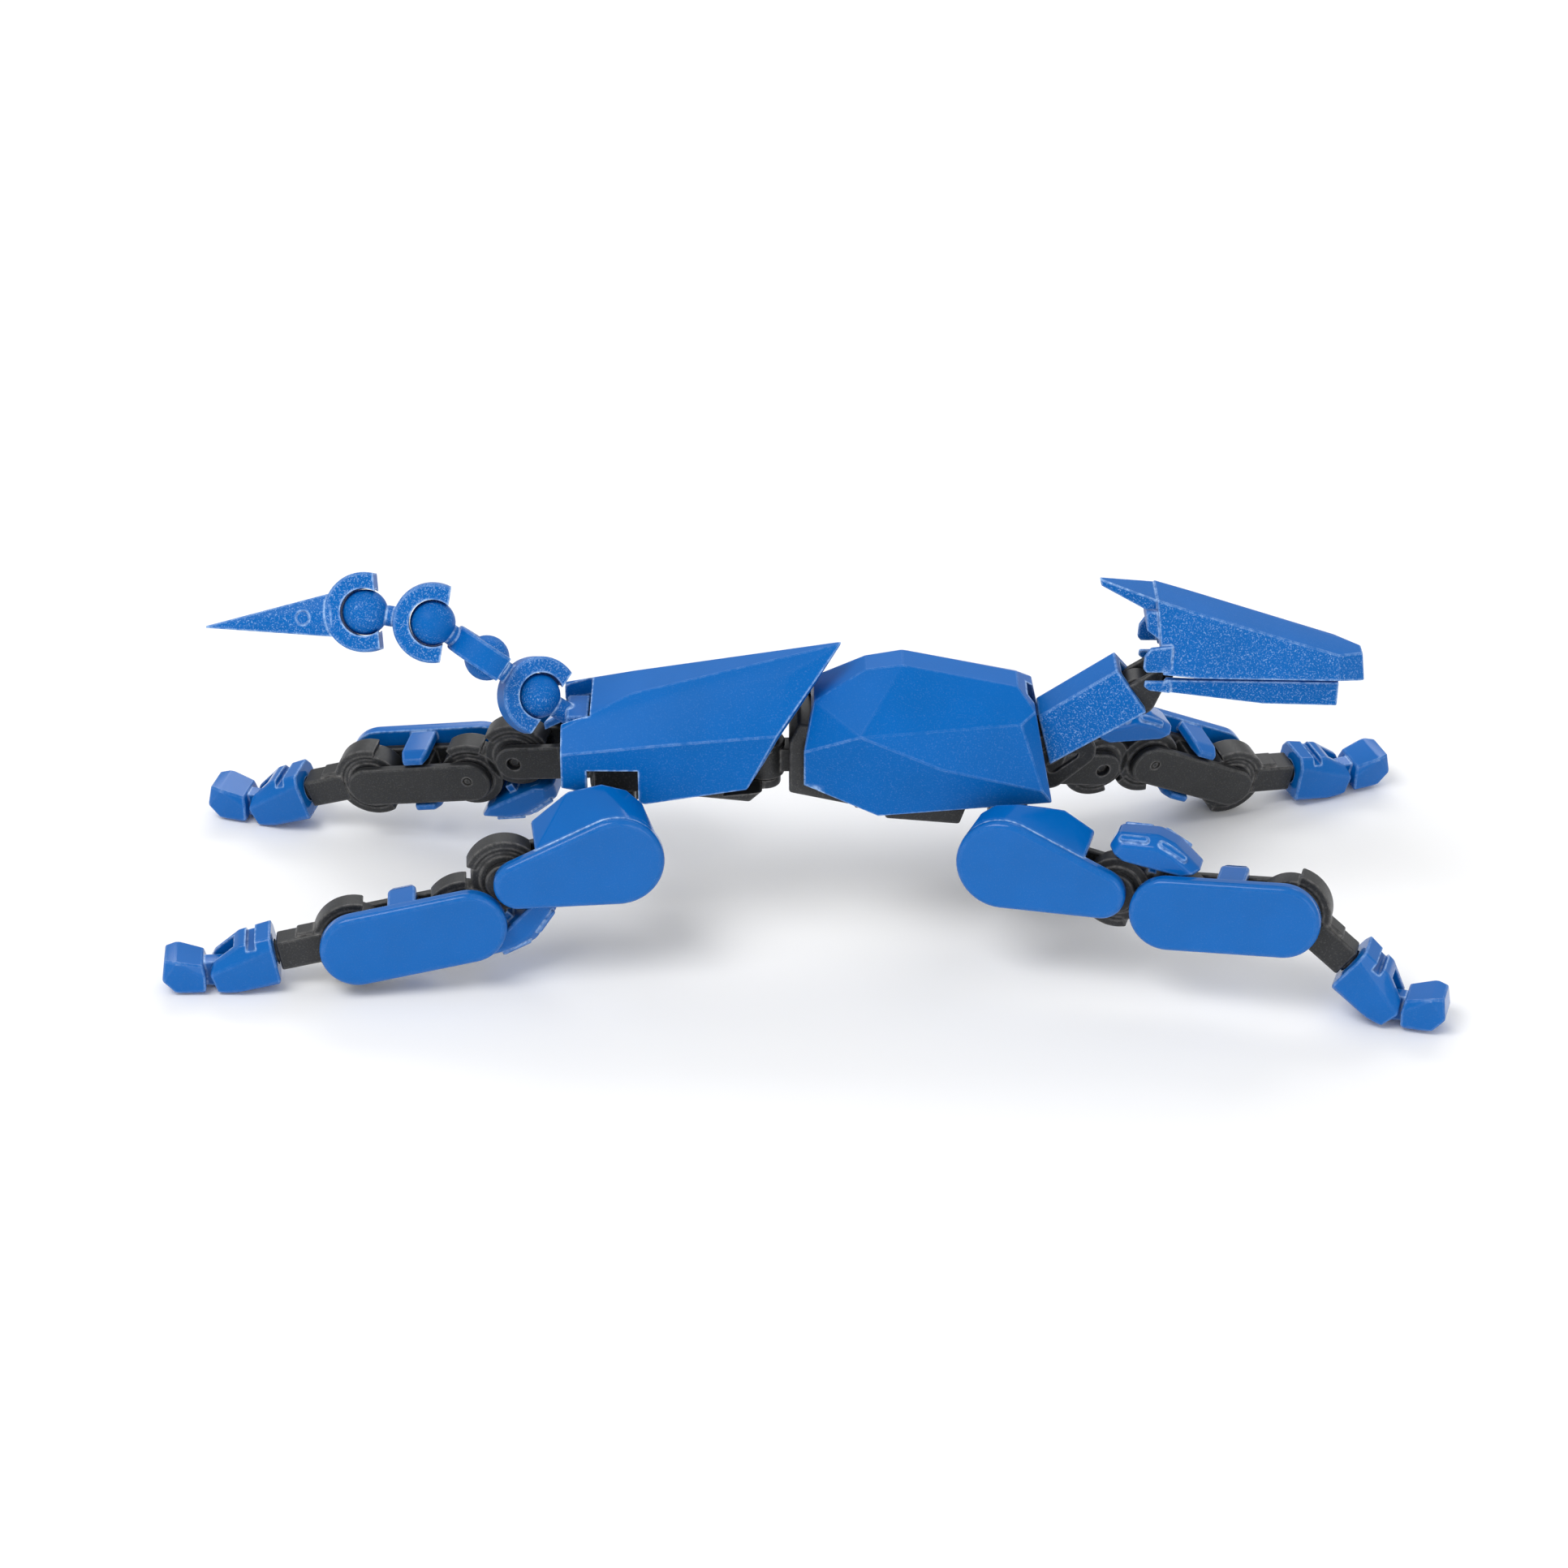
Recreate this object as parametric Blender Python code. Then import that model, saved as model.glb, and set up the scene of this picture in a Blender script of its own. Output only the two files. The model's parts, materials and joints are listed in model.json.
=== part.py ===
"""Articulated four-legged beast robot, a snap-together figure kit, lying with its legs stretched out.

World axes: +X points to the head, +Y to the animal's left, +Z up, and the floor is Z = 0.
All the dimensions below are in millimetres, and each mesh is written in metres.
A leg's own frame has +X along the limb toward the foot, Y along its hinge pins and +Z up.
"""

import math

import bmesh
import bpy
from mathutils import Matrix, Vector

MM = 0.001
GAP = 0.3
ORIGIN_SHIFT = Vector((-2.4, -2.5, 0.0))

# Hinges of the limbs
PIN_R = 0.9
HOLE_R = 1.2
DIMPLE_R = 0.8
DISC_R = 4.1
RIM_R = 4.9
DISC_HALF = 1.5
PLATE_IN = 1.8
PLATE_OUT = 2.9
THIGH_PLATE_R = 2.4
SHIN_PLATE_R = 2.75

# Leg lengths, from pin to pin
THIGH = 13.4
LINK = 7.1
SHIN = 13.7

# Leg armour: a circle at each end of each plate, as its place along the limb and its radius
ARMOR_IN = 3.2
ARMOR_OUT = 5.0
ARMOR_BEVEL = 0.5
THIGH_BIG = (-0.5, 5.6)
THIGH_SMALL = (11.7, 3.05)
SHIN_NEAR = (-0.5, 4.6)
SHIN_FAR = (13.1, 4.59)
HOOD_WALL = 1.0
HOOD_END = 8.8
HOOD_LOW = 1.6
HOODS = {
    "rear": ((8.8, -1.5, 5.3), (3.5, -1.5, 8.0), (-0.6, -1.5, 7.9), (-3.3, -1.5, 6.4), (-4.8, -1.5, 4.1)),
    "front": ((8.8, -1.5, 5.1), (4.6, -1.5, 6.5), (-0.6, 1.0, 5.7), (-3.3, 1.0, 4.9), (-4.8, 1.0, 3.6)),
}
CLIP_HALF = 1.75
GUARD_SIDE = 2.9
GUARD_TOP = 1.5
GUARD_OUTLINE = ((-2.2, 5.3), (-1.5, 7.3), (3.2, 8.3), (5.6, 7.7), (9.2, 5.3), (7.6, 4.3), (-0.6, 4.3))

# Hips
HIP_BALL_R = 2.3
HIP_CUP_R = 3.5
HIP_BALL_SIDE = 6.7
KNUCKLE_R = 2.3
KNUCKLE_HALF = 1.2

# Foot, from the ankle pin
PEG_R = 1.3
HEEL_BACK = 9.5
TOE_PIN = 16.4
TOE_DROP = 1.0

# Tail
BALL_R = 2.75
RING_R = 4.8
RING_HALF = 1.6
RING_OPENING = 60.0
TAIL_JOINTS = ((-50.2, 41.6), (-42.2, 40.2), (-35.9, 35.4), (-29.9, 30.2))
TAIL_TIP_ALONG = (-19.3, 0.0, -2.0)
TAIL_ROLLS = (28.0, 24.0, 114.0, 35.0)
SPIKE = 19.4

# Waist, neck and head
WAIST_YAW = (-2.4, 22.0)
WAIST_PITCH = (5.6, 22.0)
NECK_LOW = (35.0, 25.6)
NECK_HIGH = (42.8, 31.0)
NECK_PITCH = 38.0
HEAD_BALL = (48.4, 38.0)
HEAD_BALL_R = 2.1

# Each leg: direction along X, side along Y, hip X, hip Y, hip Z, roll, splay, guard side, and the
# angles below level of the thigh, knee link, shin, ankle bar and toe
LEGS = {
    "rear_right": (-1, -1, -20.7, 12.0, 15.9, 5.0, 5.0, -1, 12.8, 45.4, 10.4, 10.5, -3.8),
    "rear_left": (-1, 1, -20.7, 12.0, 15.9, 4.2, 11.0, -1, 8.8, 32.3, 10.9, 19.6, -4.6),
    "front_right": (1, -1, 27.6, 12.0, 15.2, 5.2, 14.3, 1, 12.2, 10.2, -2.3, 39.0, -2.2),
    "front_left": (1, 1, 27.6, 12.0, 15.2, 4.1, 19.8, 1, 15.9, 9.2, 29.2, 9.1, -3.0),
}

COLORS = {
    "gloss_blue": ((0.010, 0.130, 0.560, 1.0), 0.22),
    "grain_blue": ((0.020, 0.160, 0.580, 1.0), 0.42),
    "black": ((0.028, 0.030, 0.032, 1.0), 0.48),
}


# ---------------------------------------------------------------- solids

def from_bmesh(bm, name):
    bmesh.ops.recalc_face_normals(bm, faces=bm.faces)
    mesh = bpy.data.meshes.new(name)
    bm.to_mesh(mesh)
    bm.free()
    return bpy.data.objects.new(name, mesh)


def combine(first, second, operation):
    """The exact union, difference or intersection of two solids."""
    base = from_bmesh(first, "base")
    tool = from_bmesh(second, "tool")
    for helper in (base, tool):
        bpy.context.scene.collection.objects.link(helper)
    modifier = base.modifiers.new("combine", "BOOLEAN")
    modifier.operation = operation
    modifier.solver = "EXACT"
    modifier.object = tool
    bpy.context.view_layer.update()
    result = bmesh.new()
    result.from_object(base, bpy.context.evaluated_depsgraph_get())
    for helper in (base, tool):
        mesh = helper.data
        bpy.data.objects.remove(helper, do_unlink=True)
        bpy.data.meshes.remove(mesh)
    bmesh.ops.remove_doubles(result, verts=result.verts, dist=0.0005)
    bmesh.ops.dissolve_degenerate(result, edges=result.edges, dist=0.0005)
    return result


def join(first, *others):
    for other in others:
        first = combine(first, other, "UNION")
    return first


def cut(first, *others):
    for other in others:
        first = combine(first, other, "DIFFERENCE")
    return first


def hull(points):
    bm = bmesh.new()
    for point in points:
        bm.verts.new(point)
    result = bmesh.ops.convex_hull(bm, input=bm.verts)
    loose = [v for v in result["geom_interior"] if isinstance(v, bmesh.types.BMVert)]
    bmesh.ops.delete(bm, geom=loose, context="VERTS")
    bmesh.ops.dissolve_limit(bm, angle_limit=0.002, verts=bm.verts, edges=bm.edges)
    return bm


def both_sides(points):
    """Each (x, half width, z) as two points, one on either side of the middle plane."""
    return [(x, side * y, z) for x, y, z in points for side in (-1, 1)]


def box(low, high):
    (x0, y0, z0), (x1, y1, z1) = low, high
    return hull([(x, y, z) for x in (x0, x1) for y in (y0, y1) for z in (z0, z1)])


def prism(outline, low, high, bevel=0.0):
    """A plate with its outline in the X-Z plane, from Y = low to Y = high."""
    bm = bmesh.new()
    rings = [[bm.verts.new((x, y, z)) for x, z in outline] for y in (low, high)]
    count = len(outline)
    for i in range(count):
        j = (i + 1) % count
        bm.faces.new((rings[0][i], rings[0][j], rings[1][j], rings[1][i]))
    caps = [bm.faces.new(rings[0]), bm.faces.new(reversed(rings[1]))]
    bmesh.ops.recalc_face_normals(bm, faces=bm.faces)
    if bevel:
        edges = list({edge for cap in caps[1 if high > 0 else 0:][:1] for edge in cap.edges})
        bmesh.ops.bevel(bm, geom=edges, offset=bevel, segments=1, affect="EDGES", profile=0.5)
    return bm


def pill(x0, r0, x1, r1, steps=9):
    """The outline of two circles on the X axis and their tangents."""
    lean = math.acos((r0 - r1) / (x1 - x0))
    outline = []
    for i in range(steps):
        angle = -lean + 2 * lean * i / (steps - 1)
        outline.append((x1 + r1 * math.cos(angle), r1 * math.sin(angle)))
    for i in range(steps):
        angle = lean + (2 * math.pi - 2 * lean) * i / (steps - 1)
        outline.append((x0 + r0 * math.cos(angle), r0 * math.sin(angle)))
    return outline


def circle(x, z, radius, steps):
    turn = 2 * math.pi / steps
    return [(x + radius * math.cos(turn * i), z + radius * math.sin(turn * i)) for i in range(steps)]


def disc(x, z, radius, half, steps=22):
    return prism(circle(x, z, radius, steps), -half, half)


def ball(center, radius, steps=18):
    bm = bmesh.new()
    bmesh.ops.create_uvsphere(bm, u_segments=steps, v_segments=steps // 2, radius=radius)
    bmesh.ops.translate(bm, verts=bm.verts, vec=center)
    return bm


def rod(start, end, radius, steps=14):
    start = Vector(start)
    along = Vector(end) - start
    bm = bmesh.new()
    bmesh.ops.create_cone(
        bm, cap_ends=True, segments=steps, radius1=radius, radius2=radius, depth=along.length
    )
    turn = along.to_track_quat("Z", "Y").to_matrix().to_4x4()
    bmesh.ops.transform(bm, matrix=Matrix.Translation(start + along / 2) @ turn, verts=bm.verts)
    return bm


def place(name, bm, matrix, color, mirrored=False, sharp=32):
    """Puts the solid in the scene as one named object, with its origin on its joint."""
    if mirrored:
        bmesh.ops.scale(bm, vec=(1, -1, 1), verts=bm.verts)
    bmesh.ops.scale(bm, vec=(MM, MM, MM), verts=bm.verts)
    obj = from_bmesh(bm, name)
    for polygon in obj.data.polygons:
        polygon.use_smooth = True
    obj.data.set_sharp_from_angle(angle=math.radians(sharp))
    bpy.context.scene.collection.objects.link(obj)
    where = Matrix.Translation(matrix.translation * MM + ORIGIN_SHIFT * MM)
    obj.matrix_world = where @ matrix.to_3x3().to_4x4()
    material = bpy.data.materials.new(name)
    material.use_nodes = True
    shader = material.node_tree.nodes["Principled BSDF"]
    shader.inputs["Base Color"].default_value = COLORS[color][0]
    shader.inputs["Roughness"].default_value = COLORS[color][1]
    shader.inputs["Metallic"].default_value = 0.0
    obj.data.materials.append(material)
    return obj


# ---------------------------------------------------------------- leg pieces

def hip_yoke():
    """Cup that snaps on the hip ball, with the vertical knuckle of the thigh hinge."""
    cup = ball((0, -HIP_BALL_SIDE, 0), HIP_CUP_R)
    cup = cut(cup, box((-5, -HIP_BALL_SIDE - 5, -5), (5, -HIP_BALL_SIDE - 1.2, 5)))
    cup = cut(cup, ball((0, -HIP_BALL_SIDE, 0), HIP_BALL_R + GAP))
    arm = box((-1.1, -HIP_BALL_SIDE + HIP_BALL_R + 0.6, -1.1), (1.1, 0, 1.1))
    knuckle = rod((0, 0, -KNUCKLE_HALF), (0, 0, KNUCKLE_HALF), KNUCKLE_R, 18)
    knuckle = cut(join(cup, arm, knuckle), rod((0, 0, -3), (0, 0, 3), HOLE_R, 12))
    return knuckle


def sector(x, radius, start, end, half, steps=16):
    """A slice of a disc about (x, 0), between two angles from +X toward +Z."""
    outline = [(x, 0.0)]
    for i in range(steps + 1):
        angle = math.radians(start + (end - start) * i / steps)
        outline.append((x + radius * math.cos(angle), radius * math.sin(angle)))
    return prism(outline, -half, half)


def thigh_frame():
    """Fork over the hip knuckle, web, and two plates that hold the knee link."""
    gap = KNUCKLE_HALF + GAP
    reach = 3.4
    arm_half = 1.7
    web_end = 7.2
    frame = box((KNUCKLE_R + GAP, -PLATE_OUT, -THIGH_PLATE_R), (web_end, PLATE_OUT, THIGH_PLATE_R))
    for low, high in ((gap, THIGH_PLATE_R), (-THIGH_PLATE_R, -gap)):
        tine = rod((0, 0, low), (0, 0, high), KNUCKLE_R, 18)
        frame = join(frame, box((0, -arm_half, low), (reach, arm_half, high)), tine)
    frame = join(frame, rod((0, 0, -THIGH_PLATE_R), (0, 0, THIGH_PLATE_R), PIN_R, 12))
    for side in (-1, 1):
        y0, y1 = sorted((side * PLATE_IN, side * PLATE_OUT))
        plate = prism(pill(6.0, THIGH_PLATE_R, THIGH, THIGH_PLATE_R - 0.01), y0, y1)
        frame = join(frame, plate)
    frame = join(frame, rod((THIGH, -PLATE_IN - 0.2, 0), (THIGH, PLATE_IN + 0.2, 0), PIN_R, 12))
    return cut(frame, rod((THIGH, -PLATE_OUT - 1.0, 0), (THIGH, -PLATE_IN - 0.25, 0), DIMPLE_R, 12))


def thigh_armor(end):
    """Teardrop plate on the outside of the thigh, with a hood that turns in over the hip."""
    plate = prism(pill(*THIGH_BIG, *THIGH_SMALL, 12), ARMOR_IN, ARMOR_OUT, ARMOR_BEVEL)
    x, radius = THIGH_BIG
    joined = ARMOR_IN + 0.5
    roof = list(HOODS[end]) + [(HOOD_END, joined, 3.7)]
    for angle in (78, 100, 122, 144, 164):
        lean = math.radians(angle)
        roof.append((x + radius * math.cos(lean), joined, radius * math.sin(lean)))
    foot = [(px, py, HOOD_LOW) for px, py, pz in roof if px in (HOOD_END, HOODS[end][-1][0])]
    outer = hull(roof + foot)
    inner = []
    for px, py, pz in roof:
        across = px + (0.5 if px == HOOD_END else HOOD_WALL if px < x else 0.0)
        inner.append((across, py - (0.5 if py == joined else 1.0), pz - HOOD_WALL))
    low = [(px, py, HOOD_LOW - 0.5) for px, py, pz in inner]
    return join(plate, cut(outer, hull(inner + low)))


def knee_link(side):
    """Two discs on parallel pins, with raised rims on the side away from the guard."""
    link = join(disc(0, 0, DISC_R, DISC_HALF), disc(LINK, 0, DISC_R, DISC_HALF))
    link = join(link, sector(0, RIM_R, 65, 178, DISC_HALF), sector(LINK, RIM_R, 80, 140, DISC_HALF))
    if side > 0:
        bmesh.ops.scale(link, vec=(1, 1, -1), verts=link.verts)
    holes = [rod((x, -4, 0), (x, 4, 0), HOLE_R, 12) for x in (0, LINK)]
    return cut(link, *holes)


def knee_guard(side):
    """Long six-sided cap with two raised ribs, clipped over the two discs of the knee link."""
    middle = LINK / 2
    base = GUARD_OUTLINE[-1][1]
    top = max(z for x, z in GUARD_OUTLINE)
    points = [(x, side_y, z) for x, z in GUARD_OUTLINE for side_y in (-GUARD_TOP, GUARD_TOP)]
    for x, z in GUARD_OUTLINE:
        for side_y in (-GUARD_SIDE, GUARD_SIDE):
            points.append((middle + (x - middle) * 0.86, side_y, base + (z - base) * 0.68))
    cap = hull(points)
    for x, tilt in ((0.6, 0.0), (6.2, -1.0)):
        rib = hull([(x + dx, dy, top - 1.6 + tilt) for dx in (-1.8, 1.8) for dy in (-0.9, 0.9)]
                   + [(x + dx, dy, top + 0.1 + tilt) for dx in (-1.3, 1.3) for dy in (-0.5, 0.5)])
        cap = join(cap, rib)
    recess = [rod((x, -DISC_HALF - GAP, 0), (x, DISC_HALF + GAP, 0), DISC_R + GAP, 24) for x in (0, LINK)]
    cap = cut(cap, *recess)
    cap = join(cap, box((middle - 0.5, -1.2, DISC_R - 0.9), (middle + 0.5, 1.2, base + 0.8)))
    if side < 0:
        bmesh.ops.scale(cap, vec=(1, 1, -1), verts=cap.verts)
    return cap


def shin_frame():
    """Web between the knee link and the ankle disc, with an inner and an outer pill plate."""
    clear = RIM_R + GAP
    half = THIGH_PLATE_R
    web = box((clear, -PLATE_OUT, -half), (SHIN - clear, PLATE_OUT, half))
    for side in (-1, 1):
        y0, y1 = sorted((side * PLATE_IN, side * PLATE_OUT))
        web = join(web, prism(pill(0, SHIN_PLATE_R, SHIN, SHIN_PLATE_R - 0.01, 10), y0, y1))
    for x in (0, SHIN):
        web = join(web, rod((x, -PLATE_IN - 0.2, 0), (x, PLATE_IN + 0.2, 0), PIN_R, 12))
    return web


def shin_armor():
    """Long rounded plate on the outside of the shin, with a clip over each edge of the frame."""
    plate = prism(pill(*SHIN_NEAR, *SHIN_FAR, 12), ARMOR_IN, ARMOR_OUT, ARMOR_BEVEL)
    middle = SHIN / 2
    low = SHIN_PLATE_R + GAP
    reach = PLATE_OUT - 0.1
    for side in (-1, 1):
        clip = hull(
            [(middle + dx, y, side * z) for dx in (-CLIP_HALF, CLIP_HALF)
             for y in (-1.2, 4.2) for z in (low, 4.35)]
            + [(middle + dx, -reach, side * z) for dx in (-1.3, 1.3) for z in (low, 3.9)]
        )
        plate = join(plate, clip)
    return plate


def ankle_link():
    """Ankle disc with a raised rim, the square bar and the round peg that holds the foot."""
    body = join(disc(0, 0, DISC_R, DISC_HALF), sector(0, RIM_R, -108, 117, DISC_HALF, 26))
    body = join(body, box((3.6, -1.7, -1.9), (HEEL_BACK - GAP, 1.7, 1.9)))
    body = join(body, rod((7.0, 0, 0), (HEEL_BACK + 4.0, 0, 0), PEG_R))
    return cut(body, rod((0, -4, 0), (0, 4, 0), HOLE_R, 12))


def foot_heel():
    """Faceted heel block with a round socket behind and two cheeks for the toe in front."""
    x = HEEL_BACK
    points = [(x, 2.2, 3.3), (x, 3.0, 2.2), (x, 3.2, -2.4), (x + 0.3, 2.6, -3.1)]
    points += [(x + 4.0, 2.0, 3.0), (x + 4.4, 3.3, 1.2), (x + 4.8, 3.2, -2.6)]
    points += [(x + 7.4, 1.9, 1.2), (x + 8.2, 2.7, 0.0), (x + 7.8, 2.6, -2.6), (x + 5.6, 2.6, -3.1)]
    heel = hull(both_sides(points))
    heel = cut(heel, rod((x - 1, 0, 0), (x + 4.3, 0, 0), PEG_R + GAP))
    heel = cut(heel, box((TOE_PIN - 2.2, -1.3, -9), (x + 12, 1.3, 9)))
    return join(heel, rod((TOE_PIN, -1.5, -TOE_DROP), (TOE_PIN, 1.5, -TOE_DROP), 0.7, 10))


def foot_toe():
    """Toe block in front of the heel, with a round tongue between the cheeks."""
    tongue = prism(pill(0, 1.7, 3.2, 1.5, 8), -1.0, 1.0)
    points = [(2.4, 2.2, 1.8), (2.0, 2.7, 0.4), (1.9, 2.6, -1.5), (5.6, 2.6, 2.5), (7.0, 1.9, 2.3)]
    points += [(7.2, 2.3, -0.4), (5.6, 2.2, -2.1), (2.2, 2.0, -2.1)]
    toe = join(hull(both_sides(points)), tongue)
    return cut(toe, rod((0, -3, 0), (0, 3, 0), 1.0, 10))


def leg(name, spec):
    along, side, hip_x, hip_y, hip_z, roll, splay, guard, thigh, link, shin, bar, toe = spec
    hand = along * side
    mirrored = hand < 0
    base = Matrix.Translation((hip_x, side * hip_y, hip_z))
    if along < 0:
        base = base @ Matrix.Rotation(math.pi, 4, "Z")
    level = Matrix.Rotation(hand * math.radians(roll), 4, "X")

    def pitch(angle):
        return Matrix.Rotation(math.radians(angle), 4, "Y")

    yoke = base @ level @ pitch(thigh)
    upper = yoke @ Matrix.Rotation(hand * math.radians(splay), 4, "Z")
    knee = upper @ Matrix.Translation((THIGH, 0, 0)) @ pitch(link - thigh)
    lower = knee @ Matrix.Translation((LINK, 0, 0)) @ pitch(shin - link)
    ankle = lower @ Matrix.Translation((SHIN, 0, 0)) @ pitch(bar - shin)
    heel = ankle @ Matrix.Rotation(-hand * math.radians(roll), 4, "X")
    tip = heel @ Matrix.Translation((TOE_PIN, 0, -TOE_DROP)) @ pitch(toe - bar)
    for piece, solid, where, color in (
        ("hip_yoke", hip_yoke(), yoke, "black"),
        ("thigh_frame", thigh_frame(), upper, "black"),
        ("thigh_armor", thigh_armor(name.split("_")[0]), upper, "gloss_blue"),
        ("knee_link", knee_link(guard), knee, "black"),
        ("knee_guard", knee_guard(guard), knee, "gloss_blue"),
        ("shin_frame", shin_frame(), lower, "black"),
        ("shin_armor", shin_armor(), lower, "gloss_blue"),
        ("ankle_link", ankle_link(), ankle, "black"),
        ("foot_heel", foot_heel(), heel, "gloss_blue"),
        ("foot_toe", foot_toe(), tip, "gloss_blue"),
    ):
        place(f"{name}_{piece}", solid, where, color, mirrored)


# ---------------------------------------------------------------- body

def rear_frame():
    """Black inner frame of the hips: spine block, two hip balls and the fork of the waist."""
    hip_x = LEGS["rear_right"][2]
    yaw_x = WAIST_YAW[0]
    frame = box((-23.3, -2.4, 18.0), (-8.0, 2.4, 27.6))
    frame = join(frame, box((hip_x - 2.4, -1.5, 11.0), (hip_x + 2.4, 1.5, 19.0)))
    collar = [(-11.0, 6.3, 19.6), (-11.0, 6.0, 27.9), (-4.2, 5.2, 18.2)]
    collar += [(-1.4, 4.4, 20.4), (-1.4, 4.4, 26.6)]
    frame = join(frame, cut(hull(both_sides(collar)), box((-7.4, -9, 19.4), (0, 9, 24.6))))
    for low, high in ((18.2, 19.4), (24.6, 27.6)):
        eye = rod((yaw_x, 0, low), (yaw_x, 0, high), 2.0, 20)
        frame = join(frame, box((-7.0, -2.0, low), (yaw_x, 2.0, high)), eye)
    frame = join(frame, rod((yaw_x, 0, 18.4), (yaw_x, 0, 25.0), PIN_R, 12))
    return add_hip_balls(frame, "rear")


def add_hip_balls(frame, end):
    """Neck and ball on each side of a body frame, where the cups of the legs snap on."""
    for name, spec in LEGS.items():
        if not name.startswith(end):
            continue
        along, side, hip_x, hip_y, hip_z, roll = spec[:6]
        lean = math.radians(roll)
        y = side * (hip_y - HIP_BALL_SIDE * math.cos(lean))
        z = hip_z - HIP_BALL_SIDE * math.sin(lean)
        neck = rod((hip_x, side * 0.5, z), (hip_x, y, z), 1.2)
        frame = join(frame, neck, ball((hip_x, y, z), HIP_BALL_R))
    return frame


def waist_link():
    """Middle piece of the waist: upright barrel on the rear fork, cross barrel in the chest fork."""
    x0, z = WAIST_YAW
    x1 = WAIST_PITCH[0]
    link = rod((x0, 0, 19.7), (x0, 0, 24.3), 2.5, 20)
    link = join(link, box((x0, -1.6, z - 1.6), (x1, 1.6, z + 1.6)), disc(x1, z, 2.4, 2.0))
    link = cut(link, rod((x0, 0, 15), (x0, 0, 30), HOLE_R, 12))
    return cut(link, rod((x1, -5, z), (x1, 5, z), HOLE_R, 12))


def chest_frame():
    """Black inner frame of the chest: waist fork, belly block, two hip balls and the neck fork."""
    x1, z1 = WAIST_PITCH
    hip_x = LEGS["front_right"][2]
    frame = box((8.6, -4.6, 17.0), (29.2, 4.6, 26.4))
    belly = [(11.0, 5.2, 19.0), (12.5, 4.4, 15.4), (21.5, 4.4, 14.6), (23.0, 4.4, 19.0)]
    frame = join(frame, hull(both_sides(belly)))
    for side in (-1, 1):
        y0, y1 = sorted((side * 1.6, side * 9))
        frame = cut(frame, box((hip_x - 4.4, y0, 5), (hip_x + 4.4, y1, 19.6)))
    frame = join(frame, box((hip_x - 2.4, -1.5, 9.8), (hip_x + 2.4, 1.5, 20.0)))
    collar = [(0.6, 4.6, 19.2), (0.6, 5.2, 21.0), (0.6, 5.2, 26.6)]
    collar += [(1.8, 4.0, 28.4), (9.0, 4.8, 28.0), (9.0, 4.8, 17.4)]
    frame = join(frame, hull(both_sides(collar)))
    frame = cut(frame, box((-1.0, -2.3, z1 - 3.0), (x1 + 3.0, 2.3, z1 + 3.0)))
    frame = join(frame, rod((x1, -2.5, z1), (x1, 2.5, z1), PIN_R, 12))
    frame = join(frame, *neck_fork())
    return add_hip_balls(frame, "front")


def neck_fork():
    x, z = NECK_LOW
    pieces = []
    for side in (-1, 1):
        y0, y1 = sorted((side * 1.8, side * 2.8))
        outline = circle(x, z, 2.0, 16) + [(28.0, 21.4), (28.0, 24.6)]
        plate = hull([(px, y, pz) for px, pz in outline for y in (y0, y1)])
        pieces.append(plate)
    pieces.append(rod((x, -2.0, z), (x, 2.0, z), PIN_R, 12))
    return pieces


def shell(outer, inner):
    return cut(hull(both_sides(outer)), hull(both_sides(inner)))


def rear_shell():
    """Faceted armour over the hips, with a spike over the waist and a notch for the tail."""
    outer = [(-23.4, 2.2, 32.7), (-18.2, 2.3, 33.7), (-1.0, 1.9, 36.0), (6.9, 0.25, 37.2), (6.4, 0.2, 36.4)]
    outer += [(-23.4, 5.2, 30.5), (-15.5, 4.8, 32.4), (-1.6, 4.1, 34.4)]
    outer += [(-26.7, 8.4, 28.9), (-26.7, 5.4, 30.4), (-18.5, 8.5, 29.0), (-0.6, 7.9, 30.2)]
    outer += [(-26.9, 8.3, 22.0), (-16.8, 8.3, 19.7), (-4.5, 7.7, 21.4)]
    inner = [(-30.0, 2.0, 30.6), (-18.2, 2.0, 32.3), (-3.0, 1.6, 34.4), (-30.0, 7.2, 27.9)]
    inner += [(-18.0, 7.3, 28.1), (3.0, 4.4, 31.2), (2.0, 6.6, 28.6), (-30.0, 7.1, 17.0), (-2.0, 6.6, 17.0)]
    body = shell(outer, inner)
    body = cut(body, box((-30, -4.9, 24.9), (-23.4, 4.9, 40)))
    return cut(body, box((-23.8, -20, 10), (-17.6, 20, 24.4)))


def chest_shell():
    """Faceted chest armour, open below, at the waist and at the neck."""
    outer = [(9.8, 1.8, 34.8), (14.3, 2.4, 35.5), (28.3, 2.4, 33.0), (30.3, 5.0, 31.2), (3.6, 3.2, 31.2)]
    outer += [(13.8, 5.6, 33.2), (29.6, 6.4, 30.8), (9.1, 9.4, 29.6), (15.7, 10.4, 27.8), (31.6, 9.4, 25.2)]
    outer += [(11.4, 8.0, 17.9), (32.4, 8.4, 20.0), (2.4, 6.6, 28.4), (2.4, 6.2, 21.2)]
    inner = [(9.8, 1.4, 33.3), (14.3, 2.0, 34.0), (34.0, 2.0, 31.0), (-1.0, 2.4, 27.5), (13.8, 5.0, 31.6)]
    inner += [(34.0, 5.4, 28.9), (9.1, 7.9, 28.4), (15.7, 9.0, 26.9), (34.0, 8.1, 24.2)]
    inner += [(11.4, 6.6, 14.0), (34.0, 7.0, 14.0), (-1.0, 5.2, 14.0), (-1.0, 5.2, 27.0)]
    return shell(outer, inner)


# ---------------------------------------------------------------- neck and head

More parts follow.
